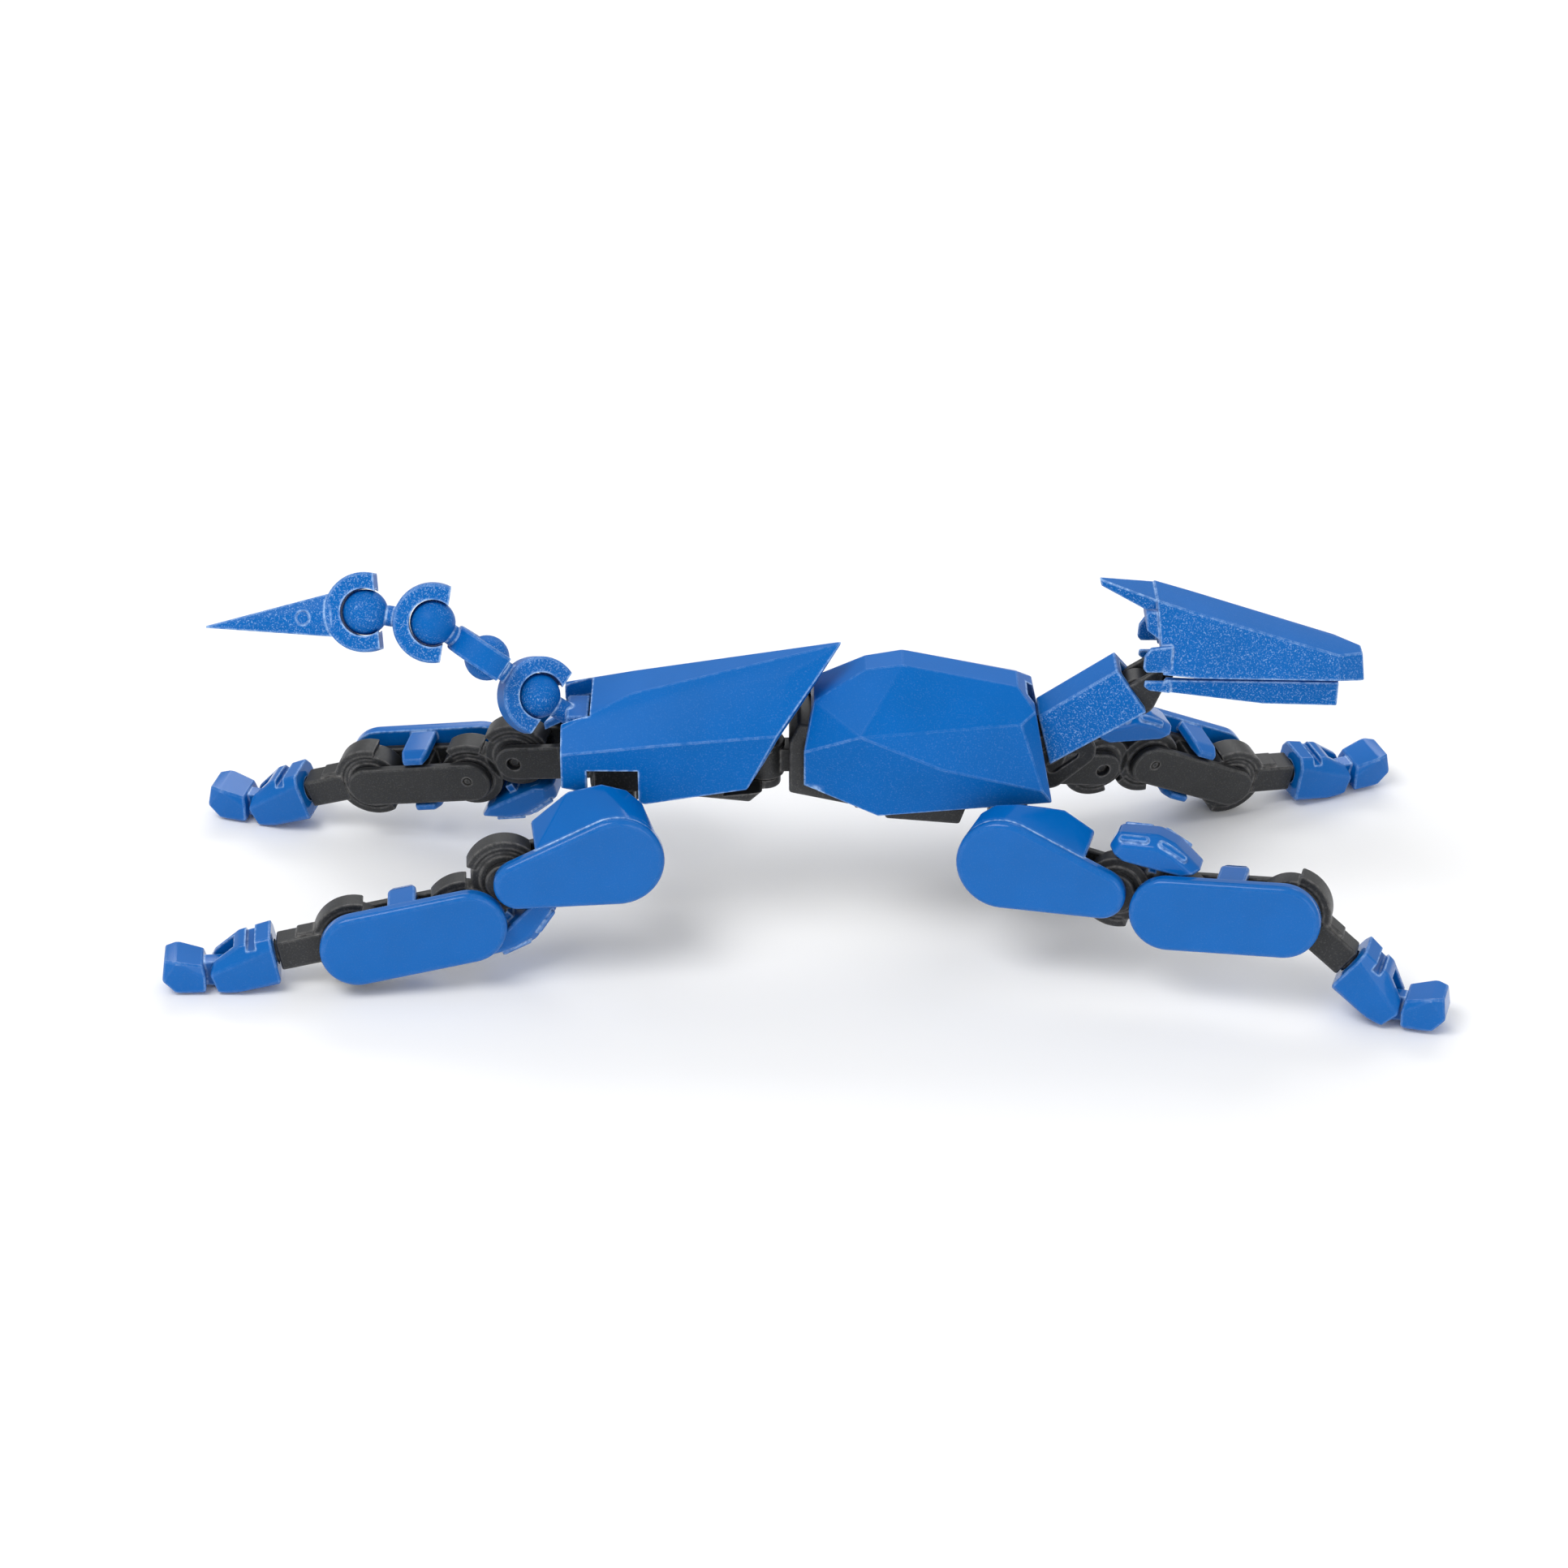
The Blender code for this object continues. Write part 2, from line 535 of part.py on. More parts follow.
def neck_link():
    """Black link from the chest fork to the head."""
    (x0, z0), (x1, z1) = NECK_LOW, NECK_HIGH
    bar = [(x, y, z + dz) for x, z in (NECK_LOW, NECK_HIGH) for dz in (-1.5, 1.5)
           for y in (-DISC_HALF, DISC_HALF)]
    link = join(disc(x0, z0, 2.0, DISC_HALF, 18), hull(bar), disc(x1, z1, 2.3, DISC_HALF, 18))
    return cut(link, *[rod((x, -4, z), (x, 4, z), HOLE_R, 12) for x, z in (NECK_LOW, NECK_HIGH)])


def neck_cover():
    """Blue box over the neck link, open behind and below."""
    turn = Matrix.Translation((37.4, 0, 28.6)) @ Matrix.Rotation(-math.radians(NECK_PITCH), 4, "Y")
    cover = cut(box((-5.6, -4.2, -3.0), (5.6, 4.2, 3.6)), box((-9, -3.1, -9), (9, 3.1, 2.5)))
    bmesh.ops.transform(cover, matrix=turn, verts=cover.verts)
    return cover


def head_mount():
    """Black fork over the end of the neck link, with the ball that carries the skull."""
    x, z = NECK_HIGH
    ball_x, ball_z = HEAD_BALL
    pieces = []
    for side in (-1, 1):
        y0, y1 = sorted((side * 1.8, side * 2.6))
        outline = circle(x, z, 2.2, 14) + [(46.4, 34.0), (45.2, 35.2)]
        pieces.append(hull([(px, y, pz) for px, pz in outline for y in (y0, y1)]))
    bridge = hull(both_sides([(45.3, 2.6, 33.2), (46.6, 2.6, 33.0), (47.2, 2.6, 35.6), (45.6, 2.6, 35.6)]))
    pin = rod((x, -2.0, z), (x, 2.0, z), PIN_R, 12)
    post = rod((46.4, 0, 34.4), (ball_x, 0, ball_z), 1.1, 12)
    return join(bridge, *pieces, pin, post, ball((ball_x, 0, ball_z), HEAD_BALL_R, 16))


def skull():
    """Wedge head with a flat sloping top, a spike behind and a socket below."""
    points = [(44.0, 2.1, 44.2), (43.8, 4.6, 40.4), (43.4, 5.0, 35.4), (63.0, 3.9, 34.0), (66.4, 3.0, 33.6)]
    points += [(70.0, 1.6, 33.5), (70.0, 1.5, 36.2), (68.6, 2.2, 37.2), (64.5, 3.6, 35.6)]
    head = hull(both_sides(points))
    spike = [(37.8, 0.2, 46.2), (37.8, 0.3, 45.4), (44.0, 2.1, 44.25), (44.6, 2.0, 40.8), (50.0, 1.9, 42.2)]
    head = join(head, hull(both_sides(spike)))
    ball_x, ball_z = HEAD_BALL
    head = cut(head, box((40.0, -3.7, 30.0), (51.6, 3.7, ball_z - 0.6)))
    return cut(head, ball((ball_x, 0, ball_z), HEAD_BALL_R + GAP, 16))


def jaw():
    """Flat lower jaw with two ears that hang it under the back of the skull."""
    points = [(45.8, 4.4, 34.7), (66.4, 2.6, 33.2), (66.8, 2.3, 31.4), (62.0, 2.6, 30.8), (45.8, 4.2, 31.6)]
    return cut(hull(both_sides(points)), box((40, -3.6, 28), (49.8, 3.6, 38)))


# ---------------------------------------------------------------- tail

def tail_matrix(index):
    """Frame of a tail piece: origin on the ball that its ring holds, +X toward the tail's tip."""
    x, z = TAIL_JOINTS[index]
    along = Vector(TAIL_TIP_ALONG)
    if index > 0:
        along = Vector((TAIL_JOINTS[index - 1][0] - x, 0, TAIL_JOINTS[index - 1][1] - z))
    along.normalize()
    across = Vector((0, -1, 0))
    turn = Matrix((along, across, along.cross(across))).transposed().to_4x4()
    roll = Matrix.Rotation(math.radians(TAIL_ROLLS[index]), 4, "X")
    return Matrix.Translation((x, 0, z)) @ turn @ roll


def tail_ring():
    """Open ring with a spherical seat; its mouth faces -X."""
    ring = disc(0, 0, RING_R, RING_HALF, 24)
    ring = cut(ring, ball((0, 0, 0), BALL_R + GAP))
    reach = 9.0
    lean = math.radians(RING_OPENING)
    mouth = [(0.0, 0.0), (-reach * math.cos(lean), reach * math.sin(lean))]
    mouth += [(-reach, 0.0), (-reach * math.cos(lean), -reach * math.sin(lean))]
    return cut(ring, prism(mouth, -5, 5))


def tail_link(length):
    stem = rod((RING_R - 1.0, 0, 0), (length - 1.0, 0, 0), 1.25)
    return join(tail_ring(), stem, ball((length, 0, 0), BALL_R))


def tail_tip():
    """Flat spike with an open ring at its root."""
    blade = [(4.0, 2.6, 1.1), (4.0, 0.9, 1.6), (SPIKE, 0.12, 0.12)]
    points = [(x, sy * y, sz * z) for x, z, y in blade for sy in (-1, 1) for sz in (-1, 1)]
    return join(tail_ring(), hull(points))


def tail_base():
    """Block in the rear notch of the hip armour, with the first ball of the tail."""
    x, z = TAIL_JOINTS[-1]
    base = box((-26.4, -2.8, 25.3), (-23.7, 2.8, 28.8))
    return join(base, rod((-25.4, 0, 27.0), (x, 0, z), 1.3), ball((x, 0, z), BALL_R))


# ---------------------------------------------------------------- assembly

def build():
    for obj in list(bpy.data.objects):
        bpy.data.objects.remove(obj, do_unlink=True)
    here = Matrix.Identity(4)
    place("rear_frame", rear_frame(), here, "black")
    place("rear_shell", rear_shell(), here, "grain_blue", sharp=5)
    place("waist_link", waist_link(), here, "black")
    place("chest_frame", chest_frame(), here, "black")
    place("chest_shell", chest_shell(), here, "grain_blue", sharp=5)
    place("neck_link", neck_link(), here, "black")
    place("neck_cover", neck_cover(), here, "grain_blue")
    place("head_mount", head_mount(), here, "black")
    place("skull", skull(), here, "grain_blue", sharp=5)
    place("jaw", jaw(), here, "grain_blue")
    place("tail_base", tail_base(), here, "grain_blue")
    for index in (3, 2, 1):
        (x0, z0), (x1, z1) = TAIL_JOINTS[index], TAIL_JOINTS[index - 1]
        link = tail_link(math.hypot(x1 - x0, z1 - z0))
        place(f"tail_link_{4 - index}", link, tail_matrix(index), "grain_blue")
    place("tail_tip", tail_tip(), tail_matrix(0), "grain_blue")
    for name, spec in LEGS.items():
        leg(name, spec)


build()
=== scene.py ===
import json
import math
from collections import namedtuple

import bmesh
import bpy
from mathutils import Matrix, Vector

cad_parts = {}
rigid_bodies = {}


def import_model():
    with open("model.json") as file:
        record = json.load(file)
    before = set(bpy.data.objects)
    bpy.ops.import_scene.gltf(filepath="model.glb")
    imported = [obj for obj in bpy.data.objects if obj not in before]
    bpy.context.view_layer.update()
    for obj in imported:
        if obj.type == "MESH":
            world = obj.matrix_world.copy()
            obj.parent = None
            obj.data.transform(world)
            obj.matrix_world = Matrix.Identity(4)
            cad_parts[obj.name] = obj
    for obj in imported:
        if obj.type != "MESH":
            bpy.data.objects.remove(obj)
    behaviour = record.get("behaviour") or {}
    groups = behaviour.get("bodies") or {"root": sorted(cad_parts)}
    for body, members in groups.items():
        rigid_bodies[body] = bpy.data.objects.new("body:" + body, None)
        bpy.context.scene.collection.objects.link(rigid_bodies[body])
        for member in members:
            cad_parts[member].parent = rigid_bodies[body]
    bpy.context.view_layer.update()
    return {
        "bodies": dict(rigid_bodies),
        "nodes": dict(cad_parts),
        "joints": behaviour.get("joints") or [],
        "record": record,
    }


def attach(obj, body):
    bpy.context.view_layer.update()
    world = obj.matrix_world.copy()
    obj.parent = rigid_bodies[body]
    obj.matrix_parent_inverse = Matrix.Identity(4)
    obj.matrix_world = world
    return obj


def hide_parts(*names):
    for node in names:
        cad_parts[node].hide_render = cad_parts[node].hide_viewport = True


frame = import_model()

# Looks of a jointed four-legged beast figure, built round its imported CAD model.
# Shapes are in millimetres, in each piece's own frame or in the drawing frame, and are scaled to
# metres when placed. Materials, lights and camera are in metres.

MM = 0.001

# From the drawing frame, whose X-Z plane is the body's middle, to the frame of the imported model
ORIGIN_SHIFT = Vector((-2.4, -2.5, 0.0))

# Sizes and places as in the CAD model, in millimetres
GAP = 0.3
PIN_R = 0.9
HOLE_R = 1.2
DISC_R = 4.1
RIM_R = 4.9
DISC_HALF = 1.5
PLATE_IN = 1.8
PLATE_OUT = 2.9
THIGH_PLATE_R = 2.4
SHIN_PLATE_R = 2.75
THIGH = 13.4
LINK = 7.1
SHIN = 13.7
ARMOR_IN = 3.2
ARMOR_OUT = 5.0
THIGH_BIG = (-0.5, 5.6)
THIGH_SMALL = (11.7, 3.05)
SHIN_NEAR = (-0.5, 4.6)
SHIN_FAR = (13.1, 4.59)
HOOD_WALL = 1.0
HOOD_LOW = 1.6
CLIP_HALF = 1.75
GUARD_SIDE = 2.9
GUARD_TOP = 1.5
GUARD_OUTLINE = ((-2.2, 5.3), (-1.5, 7.3), (3.2, 8.3), (5.6, 7.7), (9.2, 5.3), (7.6, 4.3), (-0.6, 4.3))
HIP_BALL_R = 2.3
HIP_CUP_R = 3.5
HIP_BALL_SIDE = 6.7
KNUCKLE_R = 2.3
KNUCKLE_HALF = 1.2
PEG_R = 1.3
HEEL_BACK = 9.5
TOE_PIN = 16.4
TOE_DROP = 1.0
BALL_R = 2.75
RING_R = 4.8
RING_HALF = 1.6
TAIL_JOINTS = ((-50.2, 41.6), (-42.2, 40.2), (-35.9, 35.4), (-29.9, 30.2))
TAIL_TIP_ALONG = (-19.3, 0.0, -2.0)
TAIL_ROLLS = (28.0, 24.0, 114.0, 35.0)
SPIKE = 19.4
WAIST_YAW = (-2.4, 22.0)
WAIST_PITCH = (5.6, 22.0)
NECK_LOW = (35.0, 25.6)
NECK_HIGH = (42.8, 31.0)
NECK_PITCH = 38.0
HEAD_BALL = (48.4, 38.0)
HEAD_BALL_R = 2.1

# Rounding and details that this model adds or shapes more finely, in millimetres
PIN_MARK = (0.2, 0.3)
RING_MOUTH = 1.55
DIMPLE_ALONG = 7.4
DIMPLE_FACE = 1.12
DIMPLE_R = 0.85
SHARP_RIM = 0.13
THIGH_RIM_ROUND = 0.75
SHIN_RIM_ROUND = 0.7
PROUD = 0.12
WELL_R = 1.9
MERGE = 0.0005
CLEAN_THROUGH = 5.0

# Roof line over each thigh: along, across and up from the thigh's axis
HOODS = {
    "rear": ((8.8, -1.5, 5.3), (3.5, -1.5, 8.0), (-0.6, -1.5, 7.9), (-3.3, -1.5, 6.4), (-4.8, -1.5, 4.1)),
    "front": ((8.8, -1.5, 5.3), (4.6, -1.3, 6.9), (-0.6, 1.0, 6.8), (-3.3, 1.0, 5.9), (-4.8, 1.0, 4.3)),
}

# Edges whose faces meet at fewer degrees than this stay unrounded
LEAST_EDGE_ANGLE = 14.0

# How far the lighter edge colour, partly wear and partly painted highlight, reaches from a corner, and how
# deep the grain is, in metres
EDGE_SHEEN_AND_WEAR = 0.0004
GRAIN_DEPTH = 0.00006

# Noise repeats per metre: clouds in the colour, patches that vary the painted glints and the edge wear and
# highlight, and the grain itself
CLOUD_SCALE = 130.0
PATCH_SCALE = 1500.0
GRAIN_SCALE = 5200.0

# Each leg: direction along X, side, hip place, roll, splay, side of the knee guard, then the
# downward slope of the thigh, knee link, shin, ankle bar and toe. Angles are in degrees.
Leg = namedtuple("Leg", "along side hip_x hip_y hip_z roll splay guard thigh link shin bar toe")
LEGS = {
    "rear_right": Leg(-1, -1, -20.7, 12.0, 15.9, 5.0, 5.0, -1, 12.8, 45.4, 10.4, 10.5, -3.8),
    "rear_left": Leg(-1, 1, -20.7, 12.0, 15.9, 4.2, 11.0, -1, 8.8, 32.3, 10.9, 19.6, -4.6),
    "front_right": Leg(1, -1, 27.6, 12.0, 15.2, 5.2, 14.3, 1, 12.2, 10.2, -2.3, 39.0, -2.2),
    "front_left": Leg(1, 1, 27.6, 12.0, 15.2, 4.1, 19.8, 1, 15.9, 9.2, 29.2, 9.1, -3.0),
}

# Lens and sensor, in millimetres
CAMERA_LENS = 83.85
SENSOR_WIDTH = 36.0

# Camera and set, in metres, with the camera's rise in degrees
CAMERA_TARGET = Vector((-0.0024, -0.0025, 0.0178))
CAMERA_DISTANCE = 0.45
CAMERA_RISE = 30.0
FLOOR_HALF = 3.0
FLOOR_DROP = 0.0001
SKY_STRENGTH = 0.62
LIGHT_AIM = (0, 0, 0.02)

# Each lamp: its place, size and power
LAMPS = {
    "key": ((-0.35, -0.30, 0.75), (0.5, 0.35), 3.4),
    "fill": ((0.4, -0.7, 0.3), (0.5, 0.5), 1.3),
    "back": ((0.1, 0.7, 0.6), (0.9, 0.25), 2.4),
}

BODY_OF = {
    node: body for body, nodes in frame["record"]["behaviour"]["bodies"].items() for node in nodes
}


# ---------------------------------------------------------------- materials

def new_node(tree, kind, **settings):
    node = tree.nodes.new(kind)
    for key, value in settings.items():
        setattr(node, key, value)
    return node


def noise(tree, where, scale, detail=2.0, roughness=0.55):
    node = new_node(tree, "ShaderNodeTexNoise")
    node.inputs["Scale"].default_value = scale
    node.inputs["Detail"].default_value = detail
    node.inputs["Roughness"].default_value = roughness
    tree.links.new(where, node.inputs["Vector"])
    return node.outputs["Fac"]


def remap(tree, value, low, high, to_low=0.0, to_high=1.0):
    node = new_node(tree, "ShaderNodeMapRange")
    for name, number in (("From Min", low), ("From Max", high), ("To Min", to_low), ("To Max", to_high)):
        node.inputs[name].default_value = number
    tree.links.new(value, node.inputs["Value"])
    return node.outputs["Result"]


def math_node(tree, operation, first, second):
    node = new_node(tree, "ShaderNodeMath", operation=operation)
    for index, value in enumerate((first, second)):
        if isinstance(value, (int, float)):
            node.inputs[index].default_value = value
        else:
            tree.links.new(value, node.inputs[index])
    return node.outputs["Value"]


def mix_color(tree, factor, first, second):
    """Two colours mixed. Sockets 6 and 7 and output 2 are the colour ones of this node."""
    node = new_node(tree, "ShaderNodeMix", data_type="RGBA")
    tree.links.new(factor, node.inputs["Factor"])
    for socket, value in ((node.inputs[6], first), (node.inputs[7], second)):
        if isinstance(value, tuple):
            socket.default_value = value
        else:
            tree.links.new(value, socket)
    return node.outputs[2]


def edge_mask(tree):
    """One where the rounded normal leaves the true one, which is along corners, and zero elsewhere: the mask
    of the painted edge highlight and the edge wear.
    """
    geometry = new_node(tree, "ShaderNodeNewGeometry")
    rounded = new_node(tree, "ShaderNodeBevel", samples=6)
    rounded.inputs["Radius"].default_value = EDGE_SHEEN_AND_WEAR
    agree = new_node(tree, "ShaderNodeVectorMath", operation="DOT_PRODUCT")
    tree.links.new(rounded.outputs["Normal"], agree.inputs[0])
    tree.links.new(geometry.outputs["Normal"], agree.inputs[1])
    return remap(tree, agree.outputs["Value"], 0.9985, 0.95)


def sideways_glint_mask(tree, where):
    """Strong on faces that look sideways, along the piece's own Y, and weak on the rest: where the painted
    glints on the grain show.
    """
    turned = new_node(tree, "ShaderNodeSeparateXYZ")
    tree.links.new(where.outputs["Normal"], turned.inputs["Vector"])
    upright = math_node(tree, "ABSOLUTE", turned.outputs["Y"], 0.0)
    return remap(tree, upright, 0.25, 0.95, 0.12, 1.0)


def plastic(name, colors, rough, grain, speckle_glint, edge_sheen_and_wear, coat, gleam):
    """Moulded plastic: clouded colour, fine grain with painted glints on sideways faces, and edges lightened
    partly by wear and partly by painted highlight.
    """
    base, deep, sheen_and_wear_color = colors
    material = bpy.data.materials.new(name)
    material.use_nodes = True
    tree = material.node_tree
    shader = tree.nodes["Principled BSDF"]
    where = new_node(tree, "ShaderNodeTexCoord")
    place_out = where.outputs["Object"]
    cloud = noise(tree, place_out, CLOUD_SCALE, 3.0)
    fine = noise(tree, place_out, GRAIN_SCALE, 3.0, 0.6)
    middle = noise(tree, place_out, PATCH_SCALE, 2.0)
    color = mix_color(tree, remap(tree, cloud, 0.3, 0.7), base, deep)

    # Painted glints: grain specks turned toward the lighter colour, strong on sideways faces and in patches.
    grain_glints = remap(tree, fine, 0.53, 0.66)
    patch = remap(tree, middle, 0.4, 0.62, 0.5, 1.0)
    for factor in (patch, sideways_glint_mask(tree, where), speckle_glint):
        grain_glints = math_node(tree, "MULTIPLY", grain_glints, factor)
    color = mix_color(tree, grain_glints, color, sheen_and_wear_color)

    # Corners take the lighter colour: partly rubbed wear, partly a painted highlight along the rims, varied
    # in patches.
    edge = edge_mask(tree)
    for factor in (remap(tree, middle, 0.35, 0.6, 0.25, 1.0), edge_sheen_and_wear):
        edge = math_node(tree, "MULTIPLY", edge, factor)
    color = mix_color(tree, edge, color, sheen_and_wear_color)
    tree.links.new(color, shader.inputs["Base Color"])

    smooth, dull = rough
    tree.links.new(remap(tree, fine, 0.3, 0.7, smooth, dull), shader.inputs["Roughness"])
    height = math_node(tree, "ADD", fine, math_node(tree, "MULTIPLY", middle, 0.6))
    bump = new_node(tree, "ShaderNodeBump")
    bump.inputs["Strength"].default_value = grain
    bump.inputs["Distance"].default_value = GRAIN_DEPTH
    tree.links.new(height, bump.inputs["Height"])
    tree.links.new(bump.outputs["Normal"], shader.inputs["Normal"])
    shader.inputs["Coat Weight"].default_value = coat
    shader.inputs["Coat Roughness"].default_value = 0.12
    shader.inputs["Specular IOR Level"].default_value = gleam
    return material


def make_materials():
    # Each set: base colour, deeper cloud tone, and a lighter colour for painted glints on the grain and for
    # corners, partly wear and partly painted highlight.
    blue = ((0.0, 0.125, 0.46, 1), (0.0, 0.115, 0.42, 1), (0.42, 0.62, 0.92, 1))
    black = ((0.026, 0.027, 0.029, 1), (0.017, 0.018, 0.019, 1), (0.17, 0.165, 0.16, 1))
    # The speckle and wear arguments set the strength of the painted glints and of the lightened corners.
    return {
        "gloss": plastic(
            "gloss_blue_plastic", blue,
            rough=(0.12, 0.18), grain=0.02, speckle_glint=0.03, edge_sheen_and_wear=0.7, coat=0.2, gleam=0.16,
        ),
        "shell": plastic(
            "shell_blue_plastic", blue,
            rough=(0.3, 0.42), grain=0.06, speckle_glint=0.08, edge_sheen_and_wear=0.9, coat=0.0, gleam=0.1,
        ),
        "grain": plastic(
            "grained_blue_plastic", blue,
            rough=(0.34, 0.5), grain=0.12, speckle_glint=0.5, edge_sheen_and_wear=0.9, coat=0.0, gleam=0.12,
        ),
        "black": plastic(
            "black_satin_plastic", black,
            rough=(0.34, 0.5), grain=0.14, speckle_glint=0.3, edge_sheen_and_wear=0.95, coat=0.0, gleam=0.35,
        ),
    }


# ---------------------------------------------------------------- solids

def from_bmesh(bm, name):
    bmesh.ops.recalc_face_normals(bm, faces=bm.faces)
    mesh = bpy.data.meshes.new(name)
    bm.to_mesh(mesh)
    bm.free()
    return bpy.data.objects.new(name, mesh)


def cut(first, *others):
    """The first solid less the others."""
    for other in others:
        first = difference(first, other)
    return first


def difference(first, second):
    base = from_bmesh(first, "base")
    tool = from_bmesh(second, "tool")
    for helper in (base, tool):
        bpy.context.scene.collection.objects.link(helper)
    modifier = base.modifiers.new("cut", "BOOLEAN")
    modifier.operation = "DIFFERENCE"
    modifier.solver = "EXACT"
    modifier.object = tool
    bpy.context.view_layer.update()
    result = bmesh.new()
    result.from_object(base, bpy.context.evaluated_depsgraph_get())
    for helper in (base, tool):
        mesh = helper.data
        bpy.data.objects.remove(helper, do_unlink=True)
        bpy.data.meshes.remove(mesh)
    bmesh.ops.remove_doubles(result, verts=result.verts, dist=MERGE)
    bmesh.ops.dissolve_degenerate(result, edges=result.edges, dist=MERGE)
    return result


def soften(bm, width, segments=2, least=LEAST_EDGE_ANGLE):
    """Rounds every edge where two faces meet at more than the least angle, in degrees."""
    limit = math.radians(least)
    edges = [e for e in bm.edges if len(e.link_faces) == 2 and e.calc_face_angle(0.0) > limit]
    bmesh.ops.bevel(
        bm, geom=edges, offset=width, segments=segments, affect="EDGES", profile=0.5, clamp_overlap=True
    )
    bmesh.ops.remove_doubles(bm, verts=bm.verts, dist=MERGE)
    return bm


def hull(points, soft=0.0, segments=2):
    """The smallest convex solid round the points, with flat faces merged and its edges rounded."""
    bm = bmesh.new()
    for point in points:
        bm.verts.new(point)
    result = bmesh.ops.convex_hull(bm, input=bm.verts)
    loose = [v for v in result["geom_interior"] if isinstance(v, bmesh.types.BMVert)]
    bmesh.ops.delete(bm, geom=loose, context="VERTS")
    bmesh.ops.dissolve_limit(bm, angle_limit=0.01, verts=bm.verts, edges=bm.edges)
    bmesh.ops.recalc_face_normals(bm, faces=bm.faces)
    return soften(bm, soft, segments) if soft else bm


def both_sides(points):
    """The points and their mirror images across the middle plane."""
    return [(x, side * y, z) for x, y, z in points for side in (-1, 1)]


def box(low, high, soft=0.0, segments=2):
    (x0, y0, z0), (x1, y1, z1) = low, high
    return hull([(x, y, z) for x in (x0, x1) for y in (y0, y1) for z in (z0, z1)], soft, segments)


def prism(outline, low, high, soft=0.0, segments=2, least=40.0):
    """A plate with its outline in the X-Z plane, from Y = low to Y = high, with rounded rims."""
    bm = bmesh.new()
    rings = [[bm.verts.new((x, y, z)) for x, z in outline] for y in (low, high)]
    count = len(outline)
    for i in range(count):
        j = (i + 1) % count
        bm.faces.new((rings[0][i], rings[0][j], rings[1][j], rings[1][i]))
    bm.faces.new(rings[0])
    bm.faces.new(reversed(rings[1]))
    bmesh.ops.recalc_face_normals(bm, faces=bm.faces)
    return soften(bm, soft, segments, least) if soft else bm


def pill(x0, r0, x1, r1, steps=26):
    """The outline of two circles on the X axis and their tangents."""
    lean = math.acos((r0 - r1) / (x1 - x0))
    outline = []
    for i in range(steps):
        angle = -lean + 2 * lean * i / (steps - 1)
        outline.append((x1 + r1 * math.cos(angle), r1 * math.sin(angle)))
    for i in range(steps):
        angle = lean + (2 * math.pi - 2 * lean) * i / (steps - 1)
        outline.append((x0 + r0 * math.cos(angle), r0 * math.sin(angle)))
    return outline


def circle(x, z, radius, steps=48):
    turn = 2 * math.pi / steps
    return [(x + radius * math.cos(turn * i), z + radius * math.sin(turn * i)) for i in range(steps)]


def disc(x, z, radius, half, soft=0.2):
    return prism(circle(x, z, radius), -half, half, soft)


def sector(x, inner, radius, start, end, half, soft=0.2, steps=26):
    """Part of a thick ring about (x, 0), between two angles from +X toward +Z."""
    outline = []
    for reach, order in ((radius, 1), (inner, -1)):
        arc = []
        for i in range(steps + 1):
            angle = math.radians(start + (end - start) * i / steps)
            arc.append((x + reach * math.cos(angle), reach * math.sin(angle)))
        outline += arc[::order]
    return prism(outline, -half, half, soft)


def ball(center, radius, steps=40):
    bm = bmesh.new()
    bmesh.ops.create_uvsphere(bm, u_segments=steps, v_segments=steps // 2, radius=radius)
    bmesh.ops.translate(bm, verts=bm.verts, vec=center)
    return bm


def rod(start, end, radius, soft=0.0, steps=32):
    start = Vector(start)
    along = Vector(end) - start
    bm = bmesh.new()
    bmesh.ops.create_cone(
        bm, cap_ends=True, segments=steps, radius1=radius, radius2=radius, depth=along.length
    )
    if soft:
        soften(bm, soft, 2, 40.0)
    turn = along.to_track_quat("Z", "Y").to_matrix().to_4x4()
    bmesh.ops.transform(bm, matrix=Matrix.Translation(start + along / 2) @ turn, verts=bm.verts)
    return bm


def drill(x, z, radius, reach=4.0):
    """A cutter along Y, through (x, z)."""
    return rod((x, -reach, z), (x, reach, z), radius)


def gather(*solids):
    """The solids in one mesh, each still closed."""
    whole = bmesh.new()
    for solid in solids:
        bmesh.ops.recalc_face_normals(solid, faces=solid.faces)
        mesh = bpy.data.meshes.new("gathered")
        solid.to_mesh(mesh)
        solid.free()
        whole.from_mesh(mesh)
        bpy.data.meshes.remove(mesh)
    return whole


def band(side, inner, outer):
    """The low and high Y of a plate on one side of the middle."""
    return sorted((side * inner, side * outer))


def raised_rings(x):
    """A flat ring that stands proud of each face of a disc on (x, 0)."""
    rings = []
    for side in (-1, 1):
        ring = prism(circle(x, 0, DISC_R - 1.1), *band(side, DISC_HALF - 0.2, DISC_HALF + PROUD), 0.1)
        rings.append(cut(ring, drill(x, 0, WELL_R)))
    return rings


def armor_plate(outline, face_round):
    """A side plate with a well rounded outer rim and a slightly rounded inner one."""
    plate = prism(outline, ARMOR_IN, ARMOR_OUT)
    rim = [e for e in plate.edges if all(v.co.y > ARMOR_OUT - 0.01 for v in e.verts)]
    bmesh.ops.bevel(plate, geom=rim, offset=face_round, segments=6, affect="EDGES", profile=0.5)
    rim = [e for e in plate.edges if all(v.co.y < ARMOR_IN + 0.01 for v in e.verts)]
    bmesh.ops.bevel(plate, geom=rim, offset=0.2, segments=2, affect="EDGES", profile=0.5)
    return plate


def fork_side(outline, side, inner, outer):
    """One plate of a fork, as the convex outline made thick."""
    return hull([(x, y, z) for x, z in outline for y in band(side, inner, outer)], 0.2, 2)


def flip_z(bm):
    bmesh.ops.scale(bm, vec=(1, 1, -1), verts=bm.verts)
    return bm


